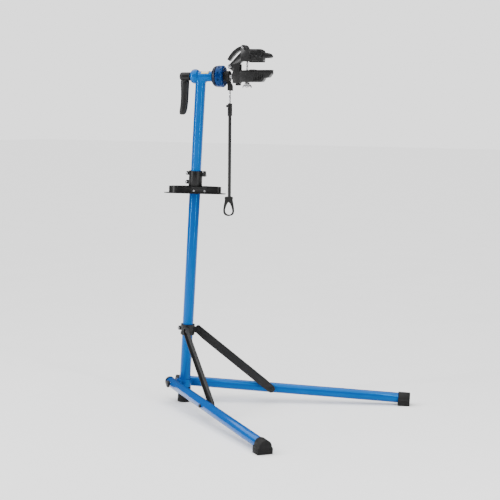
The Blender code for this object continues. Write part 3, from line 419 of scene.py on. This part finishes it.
def build_upper_tube():
    """Upper tube, flaring into the head tube where it is welded to it, and coped to it."""
    low, high = extent("upper_tube", MAST)
    radius = high.x
    _, head_high = extent("head_tube", HEAD)
    head_radius = head_high.y
    top = (MAST.inverted() @ HEAD.translation).z
    wall, fillet, flared = 0.0015, 0.011, 0.05
    to_head = HEAD.inverted() @ MAST
    heights = list(np.linspace(low.z, top - flared, 8)) + list(np.linspace(top - flared + 0.001, top, 50))
    profile = [(radius, z) for z in heights] + [(radius - wall, heights[-1]), (radius - wall, heights[0])]

    def flare(angle, out, height):
        """The outer radius, growing into a fillet near the head tube."""
        if out < radius - wall / 2:
            return out
        point = to_head @ Vector((out * math.cos(angle), out * math.sin(angle), height))
        gap = math.hypot(point.y, point.z) - head_radius
        along = abs(point.x) / radius
        near = min(1.0, max(0.0, 1.0 - gap / fillet))
        return out + min(1.0, along) ** 1.5 * fillet * (1.0 - math.sqrt(1.0 - near * near)) * 0.9
    tube = lathe("upper_tube_finished", profile, shape=flare)
    cope = rod("cope", head_radius - 0.0035, -0.06, 0.06, "X")
    cope.data.transform(to_head.inverted())
    cut(tube, cope)
    put(tube, BLUE, MAST, "upper_tube")


def build_leg(word):
    """One leg: tube, end cap, foot, bolts and strut."""
    place = leg_frame(word)
    tube_piece("leg_tube_" + word, place, "X")
    low, high = extent("leg_cap_" + word, place)
    middle = (low + high) / 2
    tube_low, _ = extent("leg_tube_" + word, place)
    radius = (high.y - low.y) / 2
    cap = lathe("leg_cap_%s_finished" % word, [
        (0.0, low.x), (radius - 0.0050, low.x), (radius - 0.0022, low.x + 0.0006),
        (radius - 0.0006, low.x + 0.0022), (radius, low.x + 0.0045), (radius, tube_low.x - 0.0040),
        (radius - 0.0005, tube_low.x - 0.0034), (radius, tube_low.x - 0.0028),
        (radius, tube_low.x - 0.0002), (0.0, tube_low.x - 0.0002)],
        "X", (middle.y, middle.z))
    put(cap, PLASTIC, place, "leg_cap_" + word)
    build_foot(place, word)
    for kind in ("strut_bolt_", "leg_pivot_bolt_"):
        refined(kind + word, 0.0012, 3)
    refined("strut_" + word, 0.0008, 3)
    for kind in ("strut_pin_", "strut_top_bolt_"):
        refined(kind + word, 0.0006, 2)


def build_foot(place, word):
    """Rubber foot, with three level grooves round it."""
    node = "foot_" + word
    piece = copied(node)
    low, high = extent(node, place)
    rounded(piece, 0.0012, 3, 30)
    first_groove, groove_pitch = 0.0065, 0.0055
    for k in range(3):
        height = first_groove + groove_pitch * k
        groove = block("groove", (low.x - 0.01, low.y - 0.01, -0.0007),
                       (high.x + 0.01, high.y + 0.01, 0.0007))
        core = block("core", (low.x + 0.0011, low.y + 0.0011, -0.01),
                     (high.x - 0.0011, high.y - 0.0011, 0.01))
        cut(groove, core)
        spot = place @ Vector((0.5 * (low.x + high.x), 0.5 * (low.y + high.y), 0.5 * (low.z + high.z)))
        flat_place = Matrix.Translation((0, 0, height)) @ axes(
            Vector((place.col[0][0], place.col[0][1], 0.0)), (0, 0, 1))
        local_shift = flat_place.inverted() @ Vector((spot.x, spot.y, height))
        groove.data.transform(Matrix.Translation((local_shift.x - 0.5 * (low.x + high.x),
                                                  local_shift.y - 0.5 * (low.y + high.y), 0.0)))
        groove.data.transform(flat_place)
        cut(piece, groove)
    put(piece, RUBBER, Matrix.Identity(4), node)


# ---- collars and tray --------------------------------------------------------------------
def clamp_bolt(node):
    """A socket-head bolt across a collar's ears, with a hexagonal nut."""
    low, high = extent(node, MAST)
    middle = (low + high) / 2
    spot = (middle.x, middle.z)
    head_r, shank_r, nut_r, socket_r = 0.0046, 0.0028, 0.0056, 0.0023
    head_h, nut_h, past_nut, socket_h = 0.0048, 0.0045, 0.0012, 0.0026
    bolt = rod(node + "_finished", head_r, low.y, low.y + head_h, "Y", spot, 0.0005)
    cut(bolt, rod("socket", socket_r, low.y - 0.001, low.y + socket_h, "Y", spot, 0.0002, 6))
    join(bolt, rod("shank", shank_r, low.y + head_h - 0.0008, high.y, "Y", spot, 0.0004))
    join(bolt, rod("nut", nut_r, high.y - past_nut - nut_h, high.y - past_nut, "Y", spot, 0.0003, 6))
    put(bolt, STEEL, MAST, node)


def build_collars():
    """Height collar, leg collar, the knob and the clamp bolts."""
    for node in ("height_collar", "leg_collar", "height_knob"):
        refined(node, 0.0009, 3)
    for node in ("height_collar_bolt_1", "height_collar_bolt_2", "leg_collar_bolt"):
        clamp_bolt(node)


def build_tray():
    """Tray, its clamp, its plate and two screws."""
    refined("tray", 0.0009, 3)
    refined("tray_clamp", 0.0006, 2)
    refined("tray_plate", 0.0006, 2)
    for node in ("tray_screw_1", "tray_screw_2"):
        refined(node, 0.0005, 2)


# ---- head --------------------------------------------------------------------------------
def build_head():
    """Head tube, the rounded rear cup and the flared clutch ring."""
    low, high = extent("head_tube", HEAD)
    tube = pipe("head_tube_finished", high.y, high.y - 0.0035, low.x, high.x, "X", edge=0.0008)
    put(tube, BLUE, HEAD, "head_tube")

    cup_low, cup_high = extent("rear_cup", HEAD)
    outer = cup_high.z
    shorter = 0.0030                   # than the CAD's cup, at its front end
    half = 0.5 * (cup_high.x - cup_low.x - shorter)
    middle = cup_low.x + half
    profile = []
    steps = 16
    for k in range(steps + 1):
        turn = math.pi * k / steps
        bulge = math.sin(turn) ** 0.9
        profile.append((high.y - 0.001 + (outer - high.y + 0.001) * bulge, middle - half * math.cos(turn)))
    profile += [(high.y - 0.003, middle + half), (high.y - 0.003, middle - half)]
    put(lathe("rear_cup_finished", profile, "X"), BLUE, HEAD, "rear_cup", math.radians(60))

    low, high = extent("clutch_ring", HEAD)
    radius = high.y
    ring = lathe("clutch_ring_finished", [
        (0.0210, low.x), (0.0285, low.x), (0.0292, low.x + 0.0003), (0.0325, low.x + 0.0016),
        (0.0360, low.x + 0.0040), (0.0390, low.x + 0.0072), (0.0408, low.x + 0.0105),
        (radius - 0.0008, low.x + 0.0130), (radius, low.x + 0.0145), (radius, high.x - 0.0006),
        (radius - 0.0006, high.x), (0.0090, high.x), (0.0090, low.x + 0.004), (0.0210, low.x + 0.004)], "X")
    put(ring, NAVY, HEAD, "clutch_ring", math.radians(50))


def build_label():
    """A blank sticker bent over the head tube, with paler patches and no print."""
    low, high = extent("head_label", HEAD)
    radius = high.z
    first_angle, sweep, thickness = 31, 118, 0.0005
    sticker = bpy.data.meshes.new("head_label_finished")
    bm = bmesh.new()
    across, along = 40, 24
    grid = []
    for i in range(along + 1):
        x = low.x + (high.x - low.x) * i / along
        row = []
        for j in range(across + 1):
            turn = math.radians(first_angle + sweep * j / across)
            row.append(bm.verts.new((x, radius * math.cos(turn), radius * math.sin(turn))))
        grid.append(row)
    for i in range(along):
        for j in range(across):
            face = bm.faces.new((grid[i][j], grid[i + 1][j], grid[i + 1][j + 1], grid[i][j + 1]))
            in_columns = 5 <= j % 20 <= 14
            in_rows = 4 <= i <= 9 or 13 <= i <= 19
            face.material_index = 1 if in_columns and in_rows else 0
            face.smooth = True
    bm.to_mesh(sticker)
    bm.free()
    label = bpy.data.objects.new("head_label_finished", sticker)
    bpy.context.collection.objects.link(label)
    solid = label.modifiers.new("thickness", "SOLIDIFY")
    solid.thickness = thickness
    solid.offset = -1.0 if sticker.polygons[0].normal.z > 0 else 1.0
    baked(label)
    label.data.transform(HEAD)
    label.data.materials.append(LABEL)
    label.data.materials.append(PATCH)
    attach(label, "head")
    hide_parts("head_label")


def build_handle():
    """Lock handle: a turned hub, and a grip that hangs from it and tapers at its end."""
    low, high = extent("handle_hub", HEAD)
    radius = high.y
    hub = lathe("handle_hub_finished", [
        (0.0, low.x), (0.0060, low.x), (0.0100, low.x + 0.0006), (0.0138, low.x + 0.0024),
        (radius - 0.0014, low.x + 0.0048), (radius - 0.0002, low.x + 0.0085), (radius, low.x + 0.0120),
        (radius, high.x - 0.0060), (radius - 0.0008, high.x - 0.0052), (radius - 0.0008, high.x - 0.0040),
        (radius, high.x - 0.0032), (radius - 0.0004, high.x - 0.0006), (radius - 0.0016, high.x),
        (0.0074, high.x), (0.0074, high.x - 0.004), (0.0, high.x - 0.004)], "X")
    put(hub, PLASTIC, HEAD, "handle_hub", math.radians(50))

    low, _ = extent("handle_grip", HEAD)
    bottom = low.z
    stations = [  # height fraction from the hub down, centre along the head, half length, half width
        (0.00, 0.0, 0.0178, 0.0134), (0.10, 0.0, 0.0176, 0.0134), (0.28, 0.0, 0.0164, 0.0126),
        (0.48, -0.0006, 0.0155, 0.0120), (0.66, -0.0020, 0.0154, 0.0120), (0.82, -0.0050, 0.0156, 0.0121),
        (0.92, -0.0082, 0.0148, 0.0116), (0.97, -0.0102, 0.0124, 0.0096), (0.99, -0.0110, 0.0092, 0.0070),
        (1.00, -0.0113, 0.0040, 0.0030)]
    start, centre_x = -0.0105, -0.0680
    sides, power = 48, 0.82            # the section is a little squarer than an ellipse
    waist, waist_from, waist_to = 0.90, 0.15, 0.90
    bm = bmesh.new()
    rings = []
    for fraction, shift, long_half, wide_half in stations:
        ring = []
        for k in range(sides):
            turn = 2 * math.pi * k / sides
            a, b = math.cos(turn), math.sin(turn)
            x = centre_x + shift + long_half * math.copysign(abs(a) ** power, a)
            y = wide_half * math.copysign(abs(b) ** power, b)
            if waist_from < fraction < waist_to and abs(b) > 0.92:
                y *= waist
            ring.append(bm.verts.new((x, y, start + (bottom - start) * fraction)))
        rings.append(ring)
    for upper, lower in zip(rings, rings[1:]):
        for k in range(sides):
            bm.faces.new((upper[k], upper[(k + 1) % sides], lower[(k + 1) % sides], lower[k]))
    bm.faces.new(rings[0])
    bm.faces.new(list(reversed(rings[-1])))
    grip = linked(bm, "handle_grip_finished")
    fine = grip.modifiers.new("fine", "SUBSURF")
    fine.levels = fine.render_levels = 1
    baked(grip)
    cut(grip, rod("seat", radius + 0.0001, -0.12, -0.03, "X"))
    put(grip, PLASTIC, HEAD, "handle_grip", math.radians(60))


def build_drum():
    """Drum with round dimples about its middle and scallops in its front rim."""
    low, high = extent("drum", HEAD)
    radius, width = high.y, high.x - low.x
    middle = low.x + 0.50 * width
    count, dent_depth = 10, 0.0042
    dimple_radius, notch_radius = 0.0046, 0.0068

    def dented(angle, out, height):
        """The rim's radius, less the depth of a dimple or a scallop."""
        if out < radius - 0.010:
            return out
        step = 2 * math.pi / count
        offset = (angle + step / 2) % step - step / 2
        around = offset * radius
        dimple = math.hypot(around, height - middle)
        depth = dent_depth * max(0.0, 1.0 - (dimple / dimple_radius) ** 6)
        half_turn = (angle + step) % step - step / 2
        notch = math.hypot(half_turn * radius, (high.x - height) * 0.75)
        depth += dent_depth * max(0.0, 1.0 - (notch / notch_radius) ** 3)
        return out - depth
    profile = []
    edge = 0.0065
    for x, out in arc((low.x + edge, radius - edge), edge, 180, 90, 8):
        profile.append((out, x))
    profile += [(radius, x) for x in np.linspace(low.x + edge + 0.0008, high.x - edge - 0.0008, 22)]
    for x, out in arc((high.x - edge, radius - edge), edge, 90, 0, 10):
        profile.append((out, x))
    profile += [(0.0345, high.x), (0.0332, high.x - 0.0006), (0.0325, high.x - 0.0028),
                (0.0090, high.x - 0.0028), (0.0090, low.x)]
    drum = lathe("drum_finished", profile, "X", sides=240, shape=dented)
    put(drum, DEEP_BLUE, HEAD, "drum", math.radians(50))


def build_neck():
    """Grooved neck between drum and clamp body, and the spindle through the head."""
    low, high = extent("neck", HEAD)
    radius = high.y
    rings = [(0.0088, low.x), (radius - 0.001, low.x), (radius, low.x + 0.001)]
    first_groove, groove_pitch = 0.005, 0.0042
    for k in range(4):
        x = low.x + first_groove + groove_pitch * k
        rings += [(radius, x - 0.0006), (radius - 0.0008, x), (radius, x + 0.0006)]
    rings += [(radius, high.x - 0.0018), (radius - 0.0008, high.x - 0.0006), (radius - 0.0022, high.x),
              (0.0088, high.x)]
    put(lathe("neck_finished", rings, "X"), PLASTIC, HEAD, "neck", math.radians(60))
    low, high = extent("spindle", HEAD)
    left_out = 0.0252                  # the end in the handle's hub, and 0.8 mm in front of the hub
    spindle = rod("spindle_finished", high.y, low.x + left_out, high.x, "X", edge=0.0010)
    put(spindle, STEEL, HEAD, "spindle")


def rib(name, start, end, width, depth, side, half):
    """A bar on a casting's side face, from one (x, z) point to another."""
    a, b = Vector(start), Vector(end)
    across = Vector((-(b - a).y, (b - a).x)).normalized() * (width / 2)
    corners = [tuple(a + across), tuple(b + across), tuple(b - across), tuple(a - across)]
    near, far = sorted((side * (half - 0.004), side * (half + depth)))
    return slab(name, corners, near, far)


def paint_recess_shade(piece, half, near, far):
    """Paint the floors of a casting's side recesses, near to far below its sides, darker with the black
    plastic, as painted shade in the recesses.
    """
    piece.data.materials.append(PLASTIC)
    to_head = HEAD.inverted()
    for polygon in piece.data.polygons:
        depth = half - abs((to_head @ polygon.center).y)
        if near < depth < far and abs((to_head.to_3x3() @ polygon.normal).y) > 0.9:
            # painted shade: this recess floor takes the darker plastic
            polygon.material_index = 1


def build_lower_jaw():
    """Lower jaw: a slot for the winged screw, and ribbed recesses in both sides."""
    low, high = extent("lower_jaw", HEAD)
    half, top, bottom = high.y, high.z, low.z
    x0, x1 = low.x, high.x
    outline = [(x0, bottom)] + arc((x1 - 0.0440, bottom + 0.012), 0.012, -90, -52, 4)
    outline += [(x1 - 0.0310, bottom + 0.0095), (x1 - 0.0290, bottom + 0.0150),
                (x1 - 0.0110, bottom + 0.0180)]
    outline += arc((x1 - 0.0060, bottom + 0.0340), 0.0060, -25, 0, 3)
    outline += [(x1, top - 0.001), (x1 - 0.001, top), (x0, top)]
    jaw = slab("lower_jaw_finished", outline, -half + 0.0004, half - 0.0004)
    rounded(jaw, 0.0018, 3)
    cut(jaw, block("rod_slot", (SCREW_X - 0.0095, -0.0045, -0.03), (SCREW_X + 0.0095, 0.0045, 0.03)))
    ribs = [((0.0600, 0.0085), (0.0690, 0.0340), 0.0038), ((0.0745, 0.0060), (0.0790, 0.0350), 0.0019),
            ((0.0830, 0.0060), (0.0870, 0.0350), 0.0019), ((0.0900, 0.0140), (0.0950, 0.0350), 0.0019)]
    for side in (-1, 1):
        near, far = sorted((side * (half - 0.0030), side * (half + 0.01)))
        recess = slab("recess", [(x0 + 0.056, bottom + 0.006), (x0 + 0.083, bottom + 0.0060),
                                 (x0 + 0.092, bottom + 0.0160), (x0 + 0.104, bottom + 0.0220),
                                 (x0 + 0.112, top - 0.010), (x0 + 0.064, top - 0.0065)], near, far)
        cut(jaw, rounded(recess, 0.0008, 2))
        for (ax, az), (bx, bz), width in ribs:
            join(jaw, rib("rib", (x0 + ax, bottom + az), (x0 + bx, bottom + bz), width, -0.0008, side, half))
    put(jaw, CAST, HEAD, "lower_jaw")
    # painted shade on the floors of the side recesses
    paint_recess_shade(jaw, half, 0.0024, 0.0036)


def build_upper_jaw():
    """Upper jaw: ribbed recesses and a low ridge on both sides, and two slits by its pad."""
    _, high = extent("upper_jaw", HEAD)
    half = high.y
    upper = copied("upper_jaw")
    upper.data.transform(HEAD.inverted())
    rounded(upper, 0.0007, 2, 40)
    hollow = [(0.2080, 0.0660), (0.2330, 0.0660), (0.2330, 0.0960), (0.2130, 0.0980)]
    ribs = [((0.2100, 0.0730), (0.2380, 0.0760)), ((0.2110, 0.0830), (0.2380, 0.0850)),
            ((0.2120, 0.0910), (0.2380, 0.0920))]
    ridge = [((0.1960, 0.1000), (0.2080, 0.0880)), ((0.2075, 0.0884), (0.2260, 0.0800))]
    for side in (-1, 1):
        near, far = sorted((side * (half - 0.0026), side * (half + 0.01)))
        cut(upper, rounded(slab("recess", hollow, near, far), 0.0008, 2))
        for a, b in ribs:
            join(upper, rib("rib", a, b, 0.0020, -0.0004, side, half))
    slit_from, slit_to, slit_half, slit_depth = 0.2300, 0.2700, 0.0005, 0.0012
    for height in (0.0665, 0.0625):
        low_z, high_z = height - slit_half, height + slit_half
        outline = [(slit_from, low_z), (slit_to, low_z), (slit_to, high_z), (slit_from, high_z)]
        cut(upper, slab("slit", outline, -half - 0.01, slit_depth - half))
    for side in (-1, 1):
        for a, b in ridge:
            join(upper, rib("ridge", a, b, 0.0042, 0.0009, side, half))
    put(upper, CAST, HEAD, "upper_jaw")
    # painted shade on the floors of the side recesses
    paint_recess_shade(upper, half, 0.0020, 0.0034)


def build_jaw_knob():
    """Knurled knob on the upper jaw's side, dished in its outer face."""
    low, high = extent("jaw_knob", HEAD)
    middle = (low + high) / 2
    radius = (high.x - low.x) / 2
    depth = high.y - low.y
    knurls, knurl_depth = 26, 0.0007

    def knurl(angle, out, height):
        """The rim's radius, waved all round."""
        wave = 0.5 + 0.5 * math.cos(knurls * angle)
        return out - knurl_depth * wave if out > radius - 0.002 else out
    knob = lathe("jaw_knob_finished", [
        (0.0, 0.0), (radius - 0.0016, 0.0), (radius - 0.0004, 0.0006), (radius, 0.0016),
        (radius, depth - 0.0026), (radius - 0.0004, depth - 0.0016), (radius - 0.0022, depth - 0.0006),
        (radius - 0.0046, depth - 0.0010), (radius - 0.0056, depth - 0.0022), (0.0050, depth - 0.0022),
        (0.0040, depth - 0.0008), (0.0, depth - 0.0004)], "Z", sides=8 * knurls, shape=knurl)
    spot = Matrix.Translation((middle.x, high.y, middle.z))
    knob.data.transform(spot @ Matrix.Rotation(math.pi / 2, 4, "X"))
    put(knob, PLASTIC, HEAD, "jaw_knob")


def build_wing_screw():
    """Winged screw: a rod with a boss and two leaves at its lower end."""
    low, high = extent("wing_screw", HEAD)
    middle = (low + high) / 2
    screw = lathe("wing_screw_finished", [
        (0.0, low.z + 0.002), (0.0044, low.z + 0.002), (0.0056, low.z + 0.0032), (0.0066, -0.0330),
        (0.0060, -0.0312), (0.0036, -0.0308), (0.0036, high.z - 0.0010), (0.0028, high.z),
        (0.0, high.z)], "Z", (middle.x, 0.0), 64)
    wing = [(0.0030, -0.0322), (0.0115, -0.0318), (0.0165, -0.0345), (0.0190, -0.0400), (0.0194, -0.0456),
            (0.0172, -0.0458), (0.0150, -0.0425), (0.0110, -0.0400), (0.0030, -0.0400)]
    leaf_half = 0.0017
    for side in (-1, 1):
        leaf = slab("leaf", [(middle.x + side * a, b) for a, b in wing], -leaf_half, leaf_half)
        join(screw, rounded(leaf, 0.0007, 2))
    put(screw, STEEL, HEAD, "wing_screw")


def build_clamp():
    """Clamp body, jaws, pads and their small fittings."""
    refined("clamp_body", 0.0010, 3)
    refined("clamp_block", 0.0008, 3)
    refined("jaw_pivot_bolt", 0.0006, 2)
    refined("lever_pin", 0.0005, 2)
    build_lower_jaw()
    refined("lower_pad", 0.0006, 2)
    refined("upper_pad", 0.0006, 2)
    build_upper_jaw()
    build_jaw_knob()
    refined("cam_lever", 0.0010, 3)
    refined("screw_saddle", 0.0005, 2)
    build_wing_screw()


# ---- handlebar holder ----------------------------------------------------------------------
def build_holder():
    """Strap, rod, tube, grooved collar, knob and loop of the handlebar holder."""
    refined("holder_strap", 0.0010, 3)
    low, high = extent("holder_rod", HEAD)
    middle = (low + high) / 2
    centre = (middle.x, middle.y)
    inner_rod = rod("holder_rod_finished", (high.x - low.x) / 2, low.z, high.z, "Z", centre)
    put(inner_rod, STEEL, HEAD, "holder_rod")
    low, high = extent("holder_tube", HEAD)
    radius = (high.x - low.x) / 2
    tube = pipe("holder_tube_finished", radius, radius - 0.0012, low.z, high.z, "Z", centre, sides=64)
    put(tube, COAT, HEAD, "holder_tube")
    low, high = extent("holder_collar", HEAD)
    radius = (high.x - low.x) / 2
    rings = [(0.0037, high.z), (radius - 0.0020, high.z), (radius - 0.0008, high.z - 0.0008),
             (radius - 0.0004, high.z - 0.0024)]
    first_groove, groove_pitch = 0.008, 0.0075
    for k in range(5):
        z = high.z - first_groove - groove_pitch * k
        rings += [(radius, z + 0.0006), (radius - 0.0007, z), (radius, z - 0.0006)]
    rings += [(radius, low.z + 0.0020), (radius - 0.0006, low.z + 0.0006), (radius - 0.0018, low.z),
              (0.0067, low.z), (0.0067, high.z - 0.018), (0.0037, high.z - 0.018)]
    put(lathe("holder_collar_finished", rings, "Z", centre), PLASTIC, HEAD, "holder_collar")
    refined("holder_knob", 0.0007, 3)
    build_loop(centre)


def build_loop(centre):
    """Rubber loop: a rounded band with button holes down one side, and rows of pits in its faces."""
    low, high = extent("holder_loop", HEAD)
    x = (low.x + high.x) / 2
    outer = [(0.0138, -0.4768), (0.0150, -0.4900), (0.0178, -0.5050), (0.0203, -0.5200), (0.0213, -0.5330),
             (0.0193, -0.5430), (0.0128, -0.5503)]
    inner = [(0.0060, -0.5020), (0.0110, -0.5110), (0.0152, -0.5230), (0.0168, -0.5330), (0.0152, -0.5400),
             (0.0098, -0.5455)]

    def closed(half, top, bottom):
        """Both sides of a symmetric outline, from the right half's points."""
        right = [(x + a, b) for a, b in half]
        left = [(x - a, b) for a, b in reversed(half)]
        return right + [(x, bottom)] + left + ([(x, top)] if top else [])
    half_width = high.y
    outside = smooth_line(closed(outer, None, low.z + 0.0003), 5)
    inside = smooth_line(closed(inner, -0.4982, -0.5483), 5)
    band = slab("holder_loop_finished", outside, -half_width, half_width)
    cut(band, slab("inside", inside, -0.02, 0.02))
    rounded(band, 0.0011, 3, 50)
    cut(band, rod("socket", 0.0067, -0.4934, -0.40, "Z", centre))
    for height in (-0.5130, -0.5230, -0.5330, -0.5420):
        cut(band, rod("button_hole", 0.0021, x + 0.004, x + 0.04, "X", (0.0, height), sides=24))
    pit_inset = 0.0020
    for height in (-0.4850, -0.4950, -0.5050, -0.5150, -0.5250, -0.5350):
        wide = np.interp(-height, [-b for _, b in outer], [a for a, _ in outer]) - pit_inset
        for side in (-1, 1):
            start, end = sorted((side * (half_width - 0.0012), side * (half_width + 0.003)))
            for sign in (-1, 1):
                cut(band, rod("pit", 0.0011, start, end, "Y", (x + sign * wide, height), sides=16))
    put(band, RUBBER, HEAD, "holder_loop")


def finish_cad():
    """Give every CAD node that still shows its procedural material."""
    for node, made in NODES.items():
        for slot in made.material_slots:
            slot.material = OF_SLOT[SLOT_OF[node]]


# ---- surroundings --------------------------------------------------------------------------
STUDIO_FILL, BACKDROP = 0.10, 1.90    # the world's strength to the object, and to the camera
OVERHEAD, OVERHEAD_WIDTH = 6.0, math.radians(100)
STRIP_WIDTH, STRIP_HEIGHT, STRIP_AIM = 0.20, 2.6, (0.15, 0.05, 0.75)
FLOOR_HALF, FLOOR_Z = 40.0, -0.0005
LENS, SENSOR = 95.95, 36.0            # millimetres
CAMERA_SPOT = (3.3897, -4.2104, 1.174)
CAMERA_HEADING, CAMERA_DIP, CAMERA_ROLL = math.radians(36.0), math.radians(5.786), math.radians(0.437)


def strip_light(name, spot, power):
    """A tall strip light, aimed at the middle of the stand."""
    light = bpy.data.lights.new(name, "AREA")
    light.energy = power
    light.shape = "RECTANGLE"
    light.size = STRIP_WIDTH
    light.size_y = STRIP_HEIGHT
    made = bpy.data.objects.new(name, light)
    made.location = spot
    made.rotation_euler = (Vector(STRIP_AIM) - Vector(spot)).to_track_quat("-Z", "Y").to_euler()
    bpy.context.collection.objects.link(made)


def build_floor():
    """A pale floor, just under the feet."""
    floor_paint, nodes, links, shader = new_material("pale floor", (0.93, 0.93, 0.93), 0.75)
    soft = noise(nodes, links, 3.0, 2.0)
    pale = ramp(nodes, links, soft, (0.94, 0.94, 0.94), (0.96, 0.96, 0.96))
    links.new(pale, shader.inputs["Base Color"])
    bm = bmesh.new()
    size = FLOOR_HALF
    corners = [(-size, -size, 0.0), (size, -size, 0.0), (size, size, 0.0), (-size, size, 0.0)]
    bm.faces.new([bm.verts.new(corner) for corner in corners])
    mesh = bpy.data.meshes.new("floor")
    bm.to_mesh(mesh)
    bm.free()
    floor = bpy.data.objects.new("floor", mesh)
    floor.location.z = FLOOR_Z
    floor.data.materials.append(floor_paint)
    bpy.context.collection.objects.link(floor)


def build_world():
    """A studio that is dim to everything but the camera, which sees a light backdrop."""
    world = bpy.data.worlds.new("studio")
    bpy.context.scene.world = world
    world.use_nodes = True
    nodes, links = world.node_tree.nodes, world.node_tree.links
    background = nodes["Background"]
    background.inputs["Color"].default_value = (1.0, 1.0, 1.0, 1.0)
    path = nodes.new("ShaderNodeLightPath")
    level = nodes.new("ShaderNodeMapRange")
    level.inputs["To Min"].default_value = STUDIO_FILL
    level.inputs["To Max"].default_value = BACKDROP
    links.new(path.outputs["Is Camera Ray"], level.inputs["Value"])
    links.new(level.outputs["Result"], background.inputs["Strength"])


def build_lights():
    """One broad overhead light and two tall strips."""
    sky = bpy.data.lights.new("overhead", "SUN")
    sky.energy = OVERHEAD
    sky.angle = OVERHEAD_WIDTH
    made = bpy.data.objects.new("overhead", sky)
    made.rotation_euler = (math.radians(12), math.radians(-8), 0.0)
    bpy.context.collection.objects.link(made)
    strip_light("left strip", (-1.6, -3.0, 1.8), 72.0)
    strip_light("right strip", (3.2, -0.8, 1.8), 45.0)


def build_camera():
    """The camera, placed where the stand's outline matches the photograph's."""
    camera_data = bpy.data.cameras.new("camera")
    camera_data.lens = LENS
    camera_data.sensor_width = SENSOR
    camera = bpy.data.objects.new("camera", camera_data)
    turn = (Matrix.Rotation(CAMERA_HEADING, 4, "Z") @ Matrix.Rotation(math.pi / 2 - CAMERA_DIP, 4, "X")
            @ Matrix.Rotation(CAMERA_ROLL, 4, "Z"))
    camera.matrix_world = Matrix.Translation(CAMERA_SPOT) @ turn
    bpy.context.collection.objects.link(camera)
    bpy.context.scene.camera = camera


finish_cad()
build_base()
build_upper_tube()
for WORD in ("left", "right"):
    build_leg(WORD)
build_collars()
build_tray()
build_head()
build_label()
build_handle()
build_drum()
build_neck()
build_clamp()
build_holder()
build_floor()
build_world()
build_lights()
build_camera()
